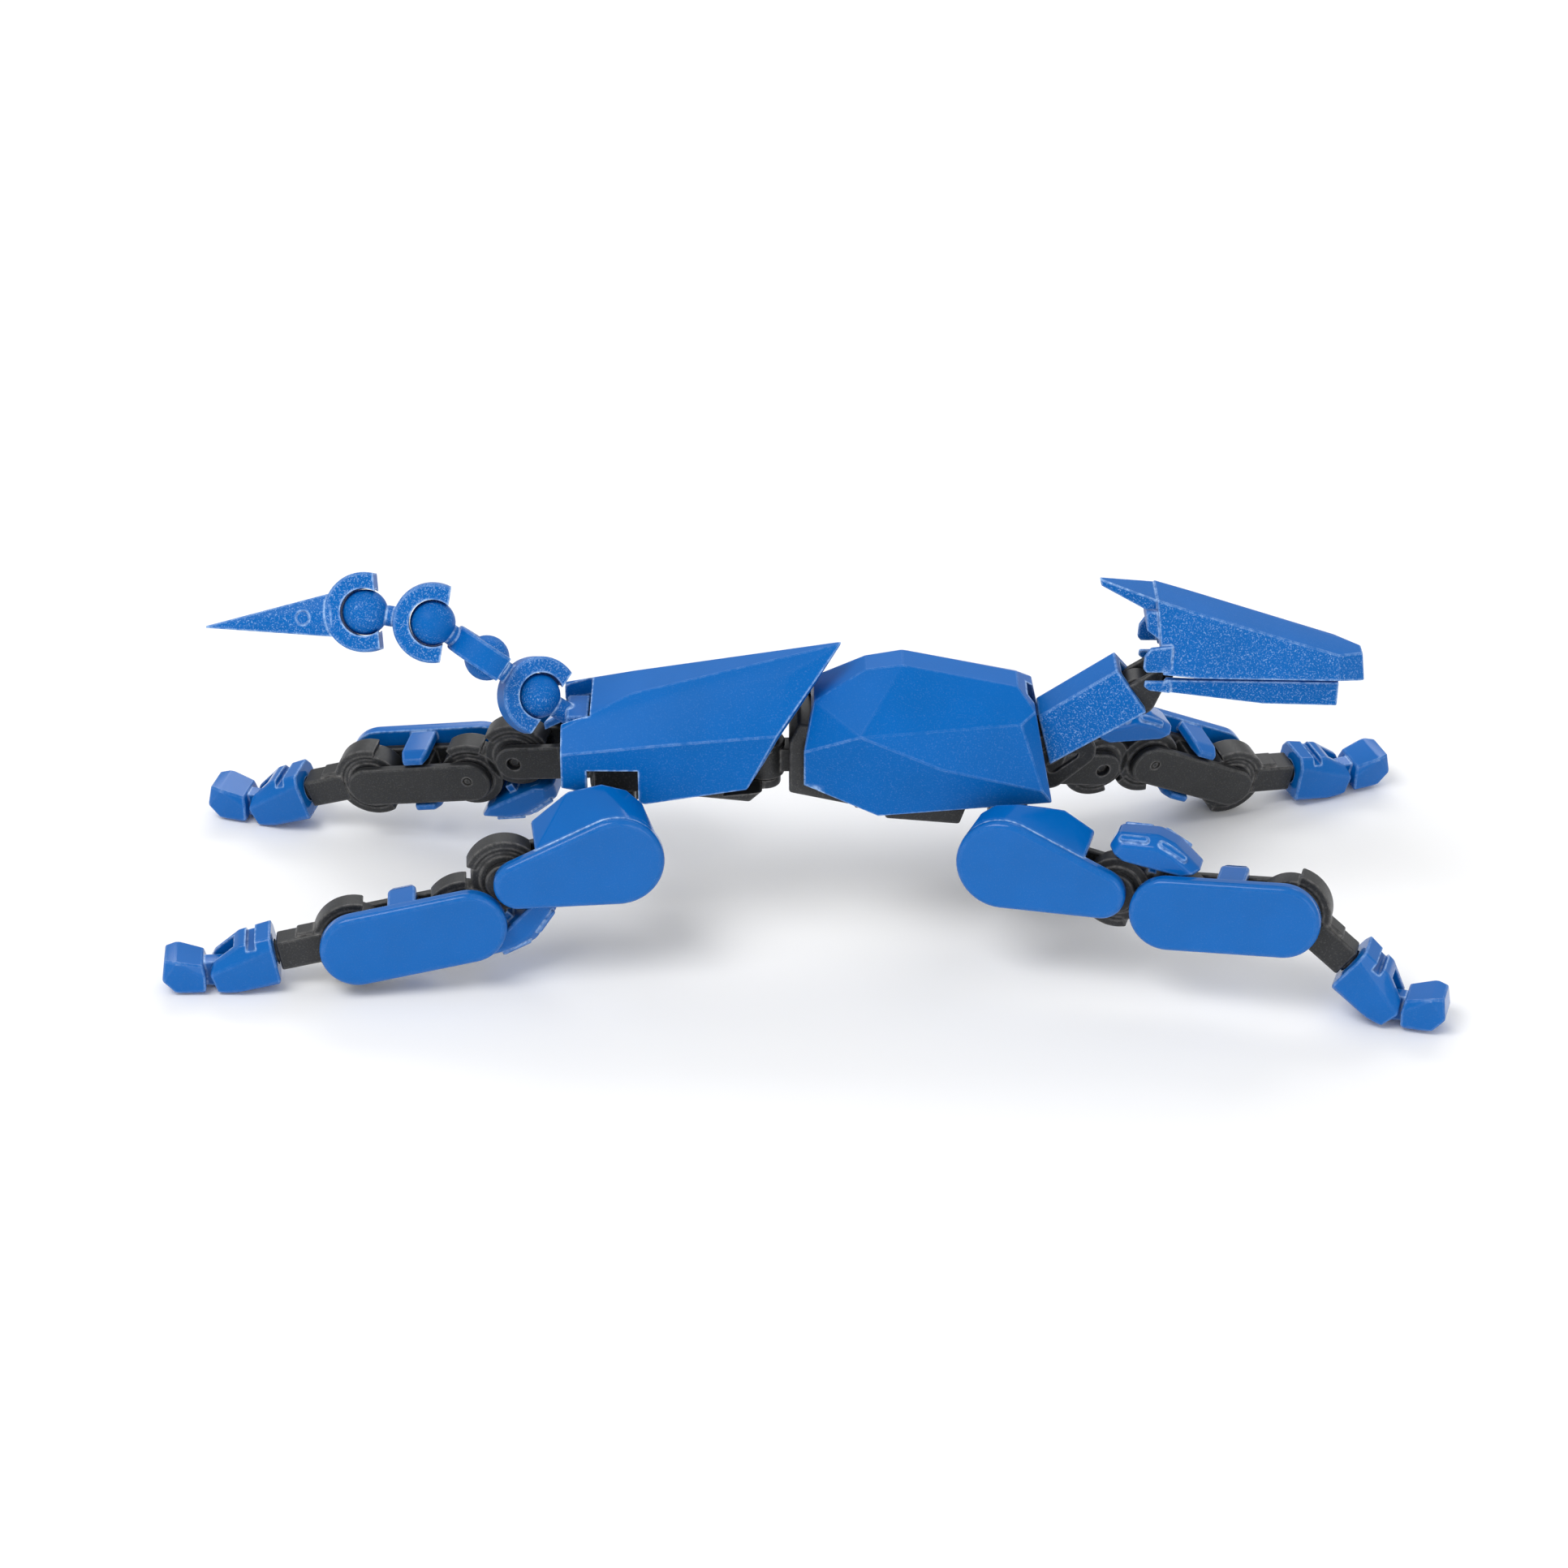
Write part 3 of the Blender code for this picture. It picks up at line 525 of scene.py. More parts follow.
def place(node, bm, matrix, finish, mirrored=False, sharp=38):
    """Puts a piece in the scene in place of its CAD node, riding on that node's body."""
    if mirrored:
        bmesh.ops.scale(bm, vec=(1, -1, 1), verts=bm.verts)
    bmesh.ops.scale(bm, vec=(MM, MM, MM), verts=bm.verts)
    obj = from_bmesh(bm, node + "_fine")
    for polygon in obj.data.polygons:
        polygon.use_smooth = True
    obj.data.set_sharp_from_angle(angle=math.radians(sharp))
    bpy.context.scene.collection.objects.link(obj)
    where = Matrix.Translation(matrix.translation * MM + ORIGIN_SHIFT * MM)
    obj.matrix_world = where @ matrix.to_3x3().to_4x4()
    obj.data.materials.append(MATERIALS[finish])
    weighted = obj.modifiers.new("normals", "WEIGHTED_NORMAL")
    weighted.keep_sharp = True
    weighted.weight = 80
    bpy.context.view_layer.update()
    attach(obj, BODY_OF[node])
    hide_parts(node)


# ---------------------------------------------------------------- leg pieces

def hip_yoke():
    cup = ball((0, -HIP_BALL_SIDE, 0), HIP_CUP_R)
    cup = cut(cup, box((-5, -HIP_BALL_SIDE - 5, -5), (5, -HIP_BALL_SIDE - 1.2, 5)))
    cup = cut(cup, ball((0, -HIP_BALL_SIDE, 0), HIP_BALL_R + GAP))
    arm = box((-1.1, -HIP_BALL_SIDE + HIP_BALL_R + 0.6, -1.1), (1.1, -1.0, 1.1), 0.25)
    knuckle = rod((0, 0, -KNUCKLE_HALF), (0, 0, KNUCKLE_HALF), KNUCKLE_R, 0.2)
    knuckle = cut(knuckle, rod((0, 0, -3), (0, 0, 3), HOLE_R))
    return gather(cup, arm, knuckle)


def thigh_frame():
    gap = KNUCKLE_HALF + GAP
    low, high = (KNUCKLE_R + GAP, -PLATE_OUT, -THIGH_PLATE_R), (7.2, PLATE_OUT, THIGH_PLATE_R - 0.05)
    frame = [box(low, high, 0.25)]
    for low, high in ((gap, THIGH_PLATE_R), (-THIGH_PLATE_R, -gap)):
        frame.append(rod((0, 0, low), (0, 0, high), KNUCKLE_R, 0.15))
        frame.append(box((0, -1.7, low), (3.4, 1.7, high), 0.1))
    frame.append(rod((0, 0, -THIGH_PLATE_R), (0, 0, THIGH_PLATE_R), PIN_R))
    for side in (-1, 1):
        outline = pill(5.4, THIGH_PLATE_R, THIGH, THIGH_PLATE_R - 0.01)
        plate = prism(outline, *band(side, PLATE_IN, PLATE_OUT), 0.22, 3)
        if side < 0:
            hole = rod((THIGH, -PLATE_OUT - 1.0, 0), (THIGH, -PLATE_IN - 0.1, 0), PIN_R)
            plate = cut(plate, hole)
            frame.append(prism(circle(THIGH, 0, 0.55, 20), -PLATE_OUT + 0.55, -PLATE_IN, 0.1))
        frame.append(plate)
    frame.append(rod((THIGH, -PLATE_IN - 0.05, 0), (THIGH, PLATE_IN + 0.2, 0), PIN_R))
    return gather(*frame)


def thigh_armor(end):
    """The teardrop side plate, and the hood that leans from it over the top of the thigh."""
    plate = armor_plate(pill(*THIGH_BIG, *THIGH_SMALL, 30), THIGH_RIM_ROUND)
    x, radius = THIGH_BIG
    joined = ARMOR_IN + 0.9
    top = HOODS[end][0][0]
    roof = list(HOODS[end]) + [(top, joined, 3.7)]
    for angle in range(72, 170, 7):
        lean = math.radians(angle)
        roof.append((x + radius * math.cos(lean), joined, radius * math.sin(lean)))
    foot = [(px, py, HOOD_LOW) for px, py, _ in roof if px in (top, HOODS[end][-1][0])]
    outer = hull(roof + foot, 0.3, 3)
    inner = []
    for px, py, pz in roof:
        across = px + (0.5 if px == top else HOOD_WALL if px < x else 0.0)
        inner.append((across, py - (0.9 if py == joined else 1.0), pz - HOOD_WALL))
    low = [(px, py, HOOD_LOW - 0.5) for px, py, _ in inner]
    return gather(plate, cut(outer, hull(inner + low)))


def knee_link(side):
    """Two rimmed discs that touch, with the raised rims up or down."""
    discs = []
    for x, start, end in ((0, 65, 178), (LINK, 80, 140)):
        drilled = cut(disc(x, 0, DISC_R, DISC_HALF, 0.25), drill(x, 0, HOLE_R))
        discs += [drilled, sector(x, DISC_R - 0.6, RIM_R, start, end, DISC_HALF, 0.22)]
        discs += raised_rings(x)
    link = gather(*discs)
    return flip_z(link) if side > 0 else link


def knee_guard(side):
    """The cap over the knee link, hollowed for its discs, with two ribs on each flank."""
    middle = LINK / 2
    base = GUARD_OUTLINE[-1][1]
    points = [(x, side_y, z) for x, z in GUARD_OUTLINE for side_y in (-GUARD_TOP, GUARD_TOP)]
    for x, z in GUARD_OUTLINE:
        for side_y in (-GUARD_SIDE, GUARD_SIDE):
            points.append((middle + (x - middle) * 0.86, side_y, base + (z - base) * 0.68))
    cap = hull(points, 0.35, 3)
    reach = DISC_HALF + GAP
    recess = [rod((x, -reach, 0), (x, reach, 0), DISC_R + GAP, 0, 48) for x in (0, LINK)]
    cap = cut(cap, *recess)
    ribs = []
    for sign in (-1, 1):
        for start, end in (((-0.7, 7.0), (1.9, 7.45)), ((4.0, 7.5), (6.8, 6.45))):
            outline = pill(0, 0.42, math.dist(start, end), 0.419, 12)
            rib = prism(outline, -0.35, 0.3, 0.16, 3)
            lean = math.atan2(end[1] - start[1], end[0] - start[0])
            slope = Matrix.Translation((start[0], sign * 2.2, start[1])) @ Matrix.Rotation(-lean, 4, "Y")
            slope = slope @ Matrix.Rotation(sign * math.radians(52), 4, "X")
            if sign < 0:
                slope = slope @ Matrix.Rotation(math.pi, 4, "X")
            bmesh.ops.transform(rib, matrix=slope, verts=rib.verts)
            ribs.append(rib)
    peg = box((middle - 0.5, -1.2, DISC_R - 0.9), (middle + 0.5, 1.2, base + 0.8))
    cap = gather(cap, peg, *ribs)
    return flip_z(cap) if side < 0 else cap


def shin_frame():
    clear = RIM_R + GAP
    half = THIGH_PLATE_R
    web = PLATE_OUT - 0.25
    parts = [box((clear, -web, -half), (SHIN - clear, web, half), 0.2)]
    for side in (-1, 1):
        outline = pill(0, SHIN_PLATE_R, SHIN, SHIN_PLATE_R - 0.01)
        plate = prism(outline, *band(side, PLATE_IN, PLATE_OUT), 0.28, 3)
        if side < 0:
            x, z = PIN_MARK
            plate = cut(plate, rod((x, -PLATE_OUT - 1.0, z), (x, -PLATE_OUT + 0.3, z), 0.62, 0, 24))
            parts.append(rod((x, -PLATE_OUT + 0.05, z), (x, -PLATE_OUT + 0.35, z), 0.4, 0.12, 24))
        parts.append(plate)
    for x in (0, SHIN):
        parts.append(rod((x, -PLATE_IN - 0.2, 0), (x, PLATE_IN + 0.2, 0), PIN_R))
    return gather(*parts)


def shin_armor():
    """The oval side plate, and the two clips that grip the shin from above and below."""
    plate = armor_plate(pill(*SHIN_NEAR, *SHIN_FAR, 30), SHIN_RIM_ROUND)
    middle = SHIN / 2
    low = SHIN_PLATE_R + GAP
    reach = PLATE_OUT - 0.1
    parts = [plate]
    for side in (-1, 1):
        wide = [(middle + dx, y) for dx in (-CLIP_HALF, CLIP_HALF) for y in (-1.2, 3.9)]
        points = [(x, y, side * z) for x, y in wide for z in (low, 4.35)]
        points += [(middle + dx, -reach, side * z) for dx in (-1.3, 1.3) for z in (low, 3.9)]
        parts.append(hull(points, 0.3, 3))
    return gather(*parts)


def ankle_link():
    body = cut(disc(0, 0, DISC_R, DISC_HALF, 0.25), drill(0, 0, HOLE_R))
    rim = sector(0, DISC_R - 0.6, RIM_R, -108, 117, DISC_HALF, 0.22, 40)
    bar = box((3.6, -1.7, -1.9), (HEEL_BACK - GAP, 1.7, 1.9), 0.28, 3)
    ledge = box((3.9, -1.3, 1.5), (6.6, 1.3, 2.35), 0.25, 3)
    peg = rod((7.0, 0, 0), (HEEL_BACK + 4.0, 0, 0), PEG_R, 0.2)
    return gather(body, rim, bar, ledge, peg, *raised_rings(0))


def foot_heel():
    x = HEEL_BACK
    points = [(x, 2.2, 3.3), (x, 3.0, 2.2), (x, 3.2, -2.4), (x + 0.3, 2.6, -3.1)]
    points += [(x + 4.0, 2.0, 3.0), (x + 4.4, 3.3, 1.2), (x + 4.8, 3.2, -2.6)]
    points += [(x + 7.4, 1.9, 1.2), (x + 8.2, 2.7, 0.0), (x + 7.8, 2.6, -2.6), (x + 5.6, 2.6, -3.1)]
    heel = hull(both_sides(points), 0.25, 3)
    heel = cut(heel, rod((x - 1, 0, 0), (x + 4.3, 0, 0), PEG_R + GAP))
    heel = cut(heel, box((TOE_PIN - 2.2, -1.3, -9), (x + 12, 1.3, 9)))
    heel = cut(heel, box((x + 2.0, -5, 2.3), (x + 3.1, 5, 6)))
    return gather(heel, rod((TOE_PIN, -1.5, -TOE_DROP), (TOE_PIN, 1.5, -TOE_DROP), 0.7))


def foot_toe():
    tongue = cut(prism(pill(0, 1.7, 3.2, 1.5, 20), -1.0, 1.0, 0.15), drill(0, 0, 1.0, 3.0))
    points = [(2.4, 2.2, 1.8), (2.0, 2.7, 0.4), (1.9, 2.6, -1.5), (5.6, 2.6, 2.5), (7.0, 1.9, 2.3)]
    points += [(7.2, 2.3, -0.4), (5.6, 2.2, -2.1), (2.2, 2.0, -2.1)]
    return gather(hull(both_sides(points), 0.22, 3), tongue)


def pitch(angle):
    return Matrix.Rotation(math.radians(angle), 4, "Y")


def leg_places(leg):
    """Where each link of a leg sits, from the hip outward: each one hangs on the one before."""
    hand = leg.along * leg.side
    base = Matrix.Translation((leg.hip_x, leg.side * leg.hip_y, leg.hip_z))
    if leg.along < 0:
        base = base @ Matrix.Rotation(math.pi, 4, "Z")
    roll = hand * math.radians(leg.roll)
    splay = hand * math.radians(leg.splay)
    yoke = base @ Matrix.Rotation(roll, 4, "X") @ pitch(leg.thigh)
    upper = yoke @ Matrix.Rotation(splay, 4, "Z")
    knee = upper @ Matrix.Translation((THIGH, 0, 0)) @ pitch(leg.link - leg.thigh)
    lower = knee @ Matrix.Translation((LINK, 0, 0)) @ pitch(leg.shin - leg.link)
    ankle = lower @ Matrix.Translation((SHIN, 0, 0)) @ pitch(leg.bar - leg.shin)
    heel = ankle @ Matrix.Rotation(-roll, 4, "X")
    tip = heel @ Matrix.Translation((TOE_PIN, 0, -TOE_DROP)) @ pitch(leg.toe - leg.bar)
    return yoke, upper, knee, lower, ankle, heel, tip


def build_legs():
    for name, leg in LEGS.items():
        end = name.split("_")[0]
        yoke, upper, knee, lower, ankle, heel, tip = leg_places(leg)
        for piece, solid, where, finish in (
            ("hip_yoke", hip_yoke(), yoke, "black"),
            ("thigh_frame", thigh_frame(), upper, "black"),
            ("thigh_armor", thigh_armor(end), upper, "gloss"),
            ("knee_link", knee_link(leg.guard), knee, "black"),
            ("knee_guard", knee_guard(leg.guard), knee, "gloss"),
            ("shin_frame", shin_frame(), lower, "black"),
            ("shin_armor", shin_armor(), lower, "gloss"),
            ("ankle_link", ankle_link(), ankle, "black"),
            ("foot_heel", foot_heel(), heel, "gloss"),
            ("foot_toe", foot_toe(), tip, "gloss"),
        ):
            place(f"{name}_{piece}", solid, where, finish, leg.along * leg.side < 0)


# ---------------------------------------------------------------- body

def hip_balls(end):
    """The ball and its stem for both legs of one end of the body."""
    parts = []
    for name, leg in LEGS.items():
        if name.startswith(end):
            lean = math.radians(leg.roll)
            y = leg.side * (leg.hip_y - HIP_BALL_SIDE * math.cos(lean))
            z = leg.hip_z - HIP_BALL_SIDE * math.sin(lean)
            parts.append(rod((leg.hip_x, leg.side * 0.5, z), (leg.hip_x, y, z), 1.2))
            parts.append(ball((leg.hip_x, y, z), HIP_BALL_R))
    return parts


def rear_frame():
    hip_x = LEGS["rear_right"].hip_x
    yaw_x = WAIST_YAW[0]
    collar = [(-11.0, 6.3, 19.6), (-11.0, 6.0, 27.9), (-4.2, 5.2, 18.2)]
    collar += [(-1.4, 4.4, 20.4), (-1.4, 4.4, 26.6)]
    collar = cut(hull(both_sides(collar), 0.3, 3), box((-7.4, -9, 19.4), (0, 9, 24.6)))
    parts = [box((-23.3, -2.4, 18.0), (-8.0, 2.4, 27.6), 0.25), collar]
    parts.append(box((hip_x - 2.4, -1.5, 11.0), (hip_x + 2.4, 1.5, 19.0), 0.25))
    for low, high in ((18.2, 19.4), (24.6, 27.6)):
        parts.append(rod((yaw_x, 0, low), (yaw_x, 0, high), 2.0, 0.2))
        parts.append(box((-7.0, -2.0, low), (yaw_x, 2.0, high), 0.15))
    parts.append(rod((yaw_x, 0, 18.4), (yaw_x, 0, 25.0), PIN_R))
    return gather(*parts, *hip_balls("rear"))


def waist_link():
    x0, z = WAIST_YAW
    x1 = WAIST_PITCH[0]
    barrel = cut(rod((x0, 0, 19.7), (x0, 0, 24.3), 2.5, 0.25), rod((x0, 0, 15), (x0, 0, 30), HOLE_R))
    cross = cut(disc(x1, z, 2.4, 2.0, 0.25), drill(x1, z, HOLE_R, 5.0))
    return gather(barrel, cross, box((x0 + 1.6, -1.6, z - 1.6), (x1 - 1.5, 1.6, z + 1.6), 0.25))


def neck_fork():
    x, z = NECK_LOW
    parts = []
    outline = circle(x, z, 2.0, 40) + [(28.0, 21.4), (28.0, 24.6)]
    turn = Matrix.Translation((33.9, 0, 22.9)) @ pitch(-NECK_PITCH)
    for side in (-1, 1):
        parts.append(fork_side(outline, side, 1.8, 2.8))
        cheek = prism(pill(-2.2, 2.6, 2.2, 2.3, 24), *band(side, 2.5, 3.2), 0.2, 3)
        slot = prism(pill(-1.5, 0.75, 1.5, 0.74, 16), -CLEAN_THROUGH, CLEAN_THROUGH)
        cheek = cut(cheek, slot)
        bmesh.ops.transform(cheek, matrix=turn, verts=cheek.verts)
        parts.append(cheek)
    parts.append(rod((x, -2.0, z), (x, 2.0, z), PIN_R))
    return parts


def chest_frame():
    x1, z1 = WAIST_PITCH
    hip_x = LEGS["front_right"].hip_x
    frame = box((8.6, -4.6, 17.0), (29.2, 4.6, 26.4), 0.25)
    belly = [(11.0, 5.2, 19.0), (12.5, 4.4, 15.4), (21.5, 4.4, 14.6), (23.0, 4.4, 19.0)]
    for side in (-1, 1):
        y0, y1 = band(side, 1.6, 9)
        frame = cut(frame, box((hip_x - 4.4, y0, 5), (hip_x + 4.4, y1, 19.6)))
    collar = [(0.6, 4.6, 19.2), (0.6, 5.2, 21.0), (0.6, 5.2, 26.6)]
    collar += [(1.8, 4.0, 28.4), (9.0, 4.8, 28.0), (9.0, 4.8, 17.4)]
    waist_room = box((-1.0, -2.3, z1 - 3.0), (x1 + 3.0, 2.3, z1 + 3.0))
    collar = cut(hull(both_sides(collar), 0.35, 3), waist_room)
    parts = [frame, collar, hull(both_sides(belly), 0.3, 3)]
    parts.append(box((hip_x - 2.4, -1.5, 9.8), (hip_x + 2.4, 1.5, 20.0), 0.25))
    parts.append(rod((x1, -2.5, z1), (x1, 2.5, z1), PIN_R))
    return gather(*parts, *neck_fork(), *hip_balls("front"))


def rear_shell():
    """An open-bottomed faceted shell, with room for the tail base and for the rear hips."""
    outer = [(-23.4, 3.6, 30.4), (-18.3, 2.9, 32.1), (0.6, 2.9, 34.7), (6.9, 0.25, 37.5), (6.4, 0.2, 36.6)]
    outer += [(-26.9, 6.0, 28.9), (-26.9, 8.4, 26.6), (-15.4, 8.5, 27.9), (-0.8, 7.7, 28.8)]
    outer += [(-26.9, 8.3, 22.0), (-16.8, 8.3, 19.7), (-4.5, 7.7, 21.4)]
    inner = [(-30.0, 2.0, 27.9), (-18.2, 2.0, 31.0), (-3.0, 1.6, 33.0), (3.0, 1.6, 33.0)]
    inner += [(-18.0, 6.6, 27.2), (-30.0, 6.6, 25.4), (2.0, 6.2, 27.4), (-30.0, 7.1, 17.0), (-2.0, 6.6, 17.0)]
    body = cut(hull(both_sides(outer), SHARP_RIM, 2), hull(both_sides(inner)))
    tail_room = box((-30, -4.9, 24.9), (-23.4, 4.9, 40))
    hip_room = box((-23.8, -20, 10), (-17.6, 20, 24.4))
    return cut(body, tail_room, hip_room)


def chest_shell():
    """A faceted shell, open below and at both ends."""
    outer = [(9.8, 1.8, 34.8), (14.3, 2.0, 35.5), (28.3, 2.0, 32.5), (3.6, 3.2, 31.2), (9.1, 9.4, 29.6)]
    outer += [(18.9, 10.2, 25.6), (28.5, 6.9, 30.0), (31.2, 9.0, 21.9), (30.3, 4.6, 30.4)]
    outer += [(32.4, 8.4, 20.0), (11.4, 8.0, 17.9), (2.4, 6.6, 26.0), (2.4, 6.2, 21.2)]
    inner = [(9.8, 1.4, 33.3), (14.3, 1.6, 34.0), (34.0, 1.6, 30.4), (-1.0, 2.4, 27.5), (13.8, 4.2, 31.2)]
    inner += [(34.0, 4.0, 28.0), (9.1, 7.9, 28.2), (18.0, 8.8, 24.6), (34.0, 7.0, 22.4)]
    inner += [(11.4, 6.6, 14.0), (34.0, 7.0, 14.0), (-1.0, 5.2, 14.0), (-1.0, 5.2, 25.0)]
    return cut(hull(both_sides(outer), SHARP_RIM, 2), hull(both_sides(inner)))


# ---------------------------------------------------------------- neck and head

def neck_link():
    (x0, z0), (x1, z1) = NECK_LOW, NECK_HIGH
    parts = []
    for (x, z), radius in ((NECK_LOW, 2.0), (NECK_HIGH, 2.3)):
        parts.append(cut(disc(x, z, radius, DISC_HALF), drill(x, z, HOLE_R)))
    half = DISC_HALF - 0.1
    bar = []
    for x, z in ((x0 + 1.5, z0 + 1.04), (x1 - 1.6, z1 - 1.1)):
        bar += [(x, y, z + dz) for dz in (-1.5, 1.5) for y in (-half, half)]
    return gather(*parts, hull(bar, 0.2))


def neck_cover():
    outer = [(30.8, 2.4, 28.6), (40.1, 2.4, 35.0), (32.3, 4.2, 22.9), (43.7, 4.2, 30.1)]
    inner = [(28.0, 1.6, 25.4), (45.0, 1.6, 37.1), (29.0, 3.6, 18.5), (46.5, 3.6, 29.5)]
    return cut(hull(both_sides(outer), 0.2, 3), hull(both_sides(inner)))


def head_mount():
    x, z = NECK_HIGH
    ball_x, ball_z = HEAD_BALL
    parts = []
    outline = circle(x, z, 2.2, 40) + [(46.4, 34.0), (45.2, 35.2)]
    for side in (-1, 1):
        parts.append(fork_side(outline, side, 1.8, 2.6))
    bridge = [(45.3, 2.6, 33.2), (46.6, 2.6, 33.0), (47.2, 2.6, 35.6), (45.6, 2.6, 35.6)]
    parts.append(hull(both_sides(bridge), 0.2, 2))
    parts.append(rod((x, -2.0, z), (x, 2.0, z), PIN_R))
    parts.append(rod((46.4, 0, 34.4), (ball_x, 0, ball_z), 1.1))
    return gather(*parts, ball((ball_x, 0, ball_z), HEAD_BALL_R))


def skull():
    points = [(44.4, 2.75, 44.6), (66.6, 2.8, 37.2), (49.6, 5.0, 35.2), (66.7, 3.7, 34.2)]
    points += [(45.4, 4.5, 35.4), (48.9, 2.95, 43.05), (69.7, 1.0, 36.6), (70.1, 1.3, 33.0)]
    ball_x, ball_z = HEAD_BALL
    head = cut(hull(both_sides(points), 0.14, 2), box((40.0, -3.7, 30.0), (51.6, 3.7, ball_z - 0.6)))
    head = cut(head, ball((ball_x, 0, ball_z), HEAD_BALL_R + GAP))
    spike = [(37.7, 0.3, 46.2), (37.9, 0.35, 45.3), (44.4, 2.6, 44.5), (43.2, 2.0, 42.9), (50.0, 2.0, 42.3)]
    rear = [(43.2, 2.4, 42.9), (43.4, 2.6, 40.4), (46.6, 2.9, 42.9), (46.6, 3.9, 38.4)]
    outline = [(43.0, 36.2), (43.4, 35.7), (46.4, 35.7), (46.4, 39.2), (43.8, 38.9), (43.1, 37.8)]
    cheeks = [prism(outline, *band(side, 3.85, 4.45), 0.15, 2, LEAST_EDGE_ANGLE) for side in (-1, 1)]
    return gather(head, hull(both_sides(spike), 0.14, 2), hull(both_sides(rear), 0.14, 2), *cheeks)


def jaw():
    points = [(45.8, 4.4, 34.7), (66.8, 3.0, 33.6), (66.8, 2.8, 30.3), (57.7, 3.4, 30.9), (45.0, 4.1, 33.0)]
    body = cut(hull(both_sides(points), 0.2, 2), box((40, -3.6, 28), (49.8, 3.6, 38)))
    outline = [(43.2, 33.7), (43.8, 33.2), (46.4, 32.8), (46.4, 34.4), (43.3, 34.4)]
    ears = [prism(outline, *band(side, 3.8, 4.3), 0.15, 2, LEAST_EDGE_ANGLE) for side in (-1, 1)]
    return gather(body, *ears)


# ---------------------------------------------------------------- tail

def tail_matrix(index):
    """At a tail joint, with +X toward the next joint outward, or toward the tip."""
    x, z = TAIL_JOINTS[index]
    along = Vector(TAIL_TIP_ALONG)
    if index > 0:
        along = Vector((TAIL_JOINTS[index - 1][0] - x, 0, TAIL_JOINTS[index - 1][1] - z))
    along.normalize()
    across = Vector((0, -1, 0))
    turn = Matrix((along, across, along.cross(across))).transposed().to_4x4()
    return Matrix.Translation((x, 0, z)) @ turn @ Matrix.Rotation(math.radians(TAIL_ROLLS[index]), 4, "X")


def tail_ring():
    """A thick ring round the ball, open on the side that faces the body."""
    ring = prism(circle(0, 0, RING_R, 56), -RING_HALF, RING_HALF, 0.3, 3)
    ring = cut(ring, ball((0, 0, 0), BALL_R + GAP))
    ring = cut(ring, prism(circle(0, 0, BALL_R + 0.1), -CLEAN_THROUGH, CLEAN_THROUGH))
    return cut(ring, box((-9.0, -CLEAN_THROUGH, -9.0), (-RING_MOUTH, CLEAN_THROUGH, 9.0)))


def tail_link(length):
    stem = rod((RING_R - 1.0, 0, 0), (length - 1.0, 0, 0), 1.25)
    return gather(tail_ring(), stem, ball((length, 0, 0), BALL_R))


def tail_tip():
    blade = [(4.0, 2.6, 1.1), (4.0, 0.9, 1.6), (SPIKE, 0.12, 0.12)]
    points = [(x, sy * y, sz * z) for x, z, y in blade for sy in (-1, 1) for sz in (-1, 1)]
    blade = hull(points, 0.1, 2)
    for start, end in ((-3, -DIMPLE_FACE), (DIMPLE_FACE, 3)):
        blade = cut(blade, rod((DIMPLE_ALONG, start, 0), (DIMPLE_ALONG, end, 0), DIMPLE_R, 0, 28))
    return gather(tail_ring(), blade)


def tail_base():
    x, z = TAIL_JOINTS[-1]
    base = box((-26.4, -2.8, 25.3), (-23.7, 2.8, 28.8), 0.25, 3)
    return gather(base, rod((-25.4, 0, 27.0), (x, 0, z), 1.3), ball((x, 0, z), BALL_R))


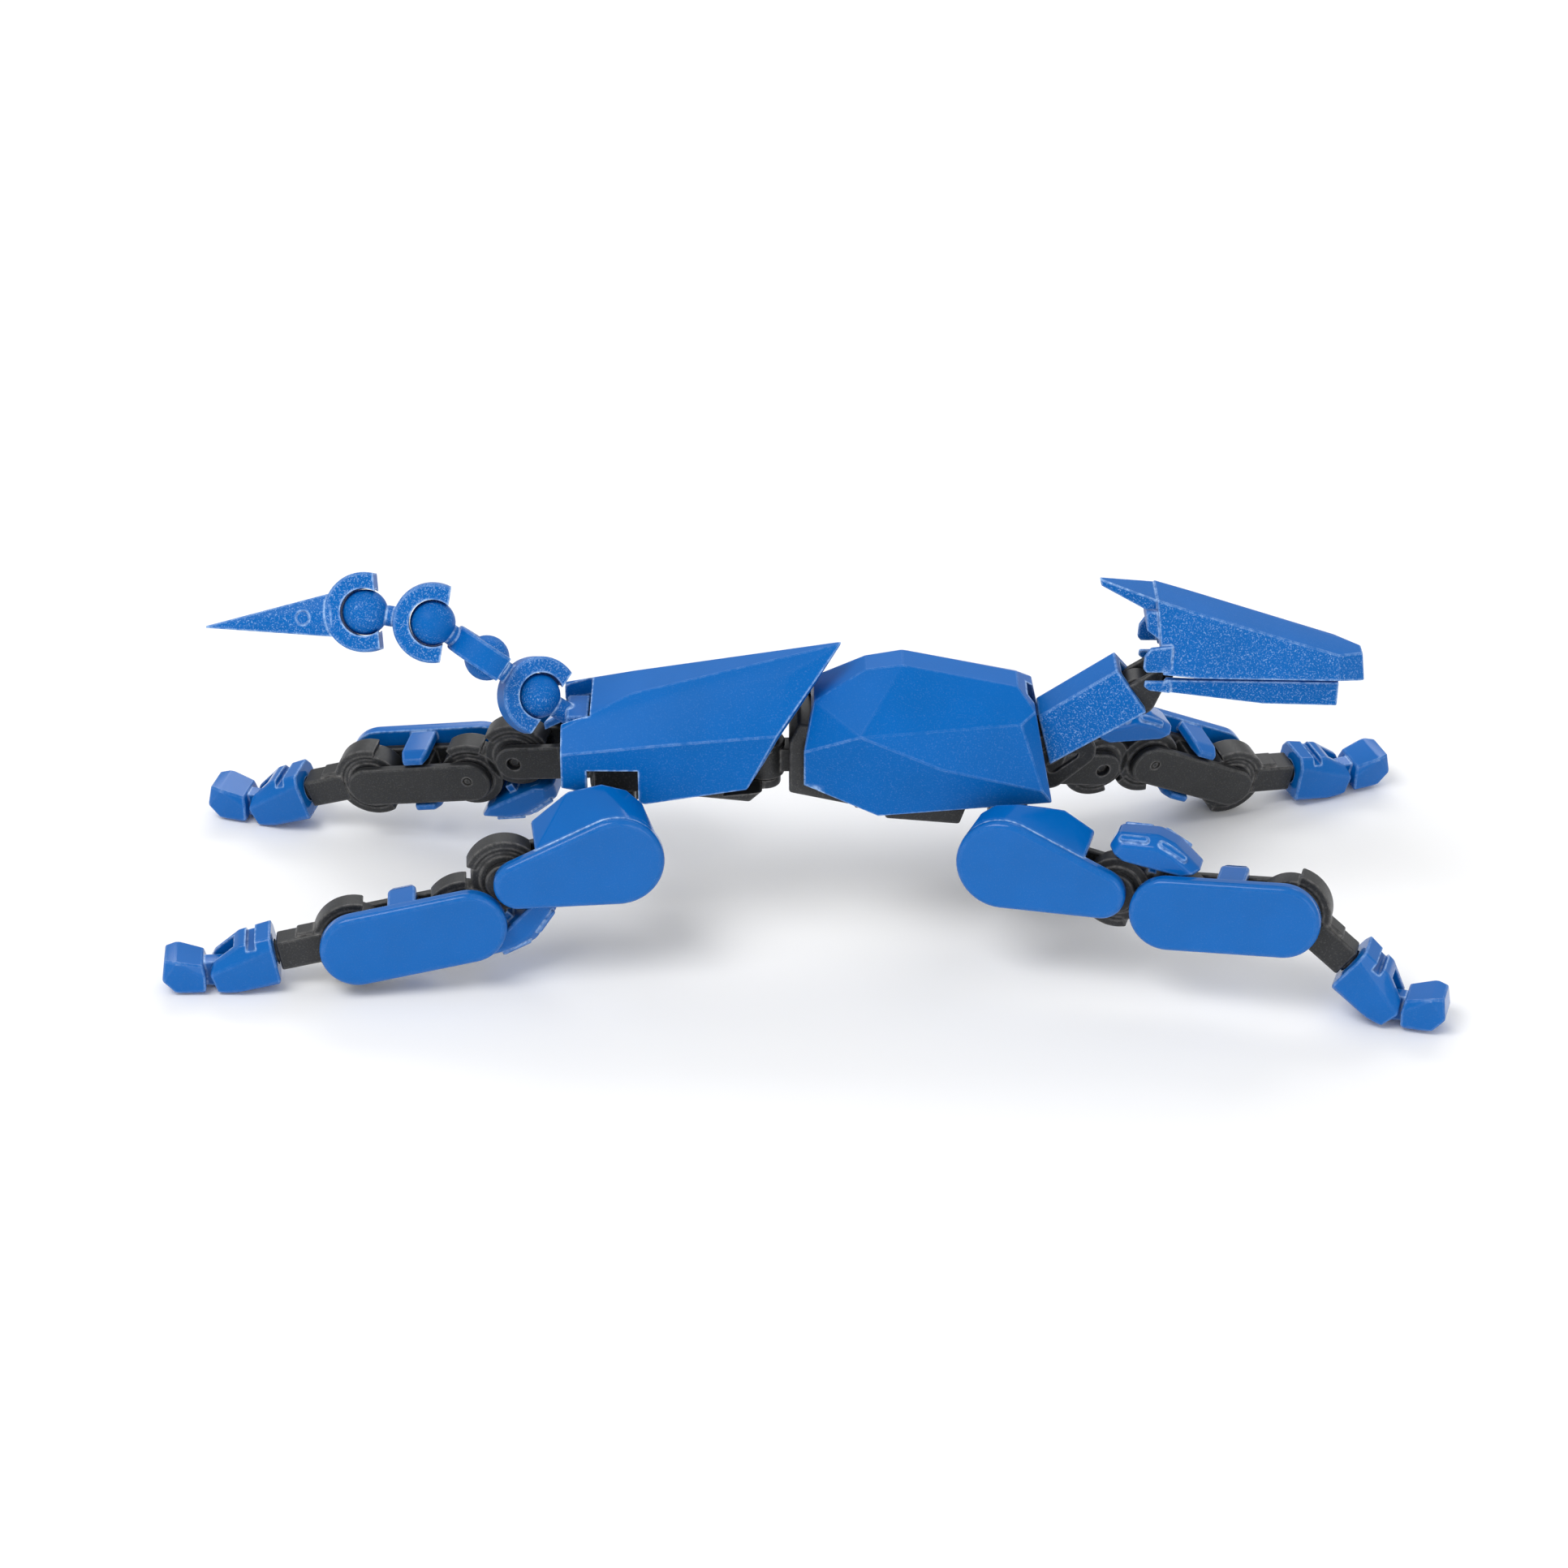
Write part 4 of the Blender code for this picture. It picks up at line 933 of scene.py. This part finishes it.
def build_body():
    for node, solid, finish in (
        ("rear_frame", rear_frame(), "black"),
        ("rear_shell", rear_shell(), "shell"),
        ("waist_link", waist_link(), "black"),
        ("chest_frame", chest_frame(), "black"),
        ("chest_shell", chest_shell(), "shell"),
        ("neck_link", neck_link(), "black"),
        ("neck_cover", neck_cover(), "grain"),
        ("head_mount", head_mount(), "black"),
        ("skull", skull(), "grain"),
        ("jaw", jaw(), "grain"),
        ("tail_base", tail_base(), "grain"),
    ):
        place(node, solid, Matrix.Identity(4), finish)
    last = len(TAIL_JOINTS) - 1
    for index in range(last, 0, -1):
        length = math.dist(TAIL_JOINTS[index], TAIL_JOINTS[index - 1])
        place(f"tail_link_{last + 1 - index}", tail_link(length), tail_matrix(index), "grain")
    place("tail_tip", tail_tip(), tail_matrix(0), "grain")


# ---------------------------------------------------------------- camera, floor and light

def look_at(obj, place_at, aim):
    obj.location = place_at
    obj.rotation_euler = (Vector(aim) - Vector(place_at)).to_track_quat("-Z", "Y").to_euler()
    bpy.context.scene.collection.objects.link(obj)


def add_lamp(name, place_at, size, power):
    light = bpy.data.lights.new(name, "AREA")
    light.shape = "RECTANGLE"
    light.size, light.size_y = size
    light.energy = power
    look_at(bpy.data.objects.new(name, light), place_at, LIGHT_AIM)


def add_camera():
    lens = bpy.data.cameras.new("camera")
    lens.lens = CAMERA_LENS
    lens.sensor_width = SENSOR_WIDTH
    lens.clip_start = 0.01
    camera = bpy.data.objects.new("camera", lens)
    rise = math.radians(CAMERA_RISE)
    back = Vector((0, -math.cos(rise), math.sin(rise)))
    look_at(camera, CAMERA_TARGET + CAMERA_DISTANCE * back, CAMERA_TARGET)
    bpy.context.scene.camera = camera


def add_floor():
    bm = bmesh.new()
    bmesh.ops.create_grid(bm, x_segments=2, y_segments=2, size=FLOOR_HALF)
    floor = from_bmesh(bm, "floor")
    floor.location = (0, 0, -FLOOR_DROP)
    bpy.context.scene.collection.objects.link(floor)
    pale = bpy.data.materials.new("pale_floor")
    pale.use_nodes = True
    shader = pale.node_tree.nodes["Principled BSDF"]
    shader.inputs["Base Color"].default_value = (0.96, 0.96, 0.96, 1)
    shader.inputs["Roughness"].default_value = 0.85
    floor.data.materials.append(pale)


def build_set():
    add_camera()
    add_floor()
    world = bpy.data.worlds.new("studio")
    bpy.context.scene.world = world
    world.use_nodes = True
    sky = world.node_tree.nodes["Background"]
    sky.inputs["Color"].default_value = (1, 1, 1, 1)
    sky.inputs["Strength"].default_value = SKY_STRENGTH
    for name, (place_at, size, power) in LAMPS.items():
        add_lamp(name, place_at, size, power)
    bpy.context.scene.view_settings.view_transform = "Standard"


MATERIALS = make_materials()
build_body()
build_legs()
build_set()
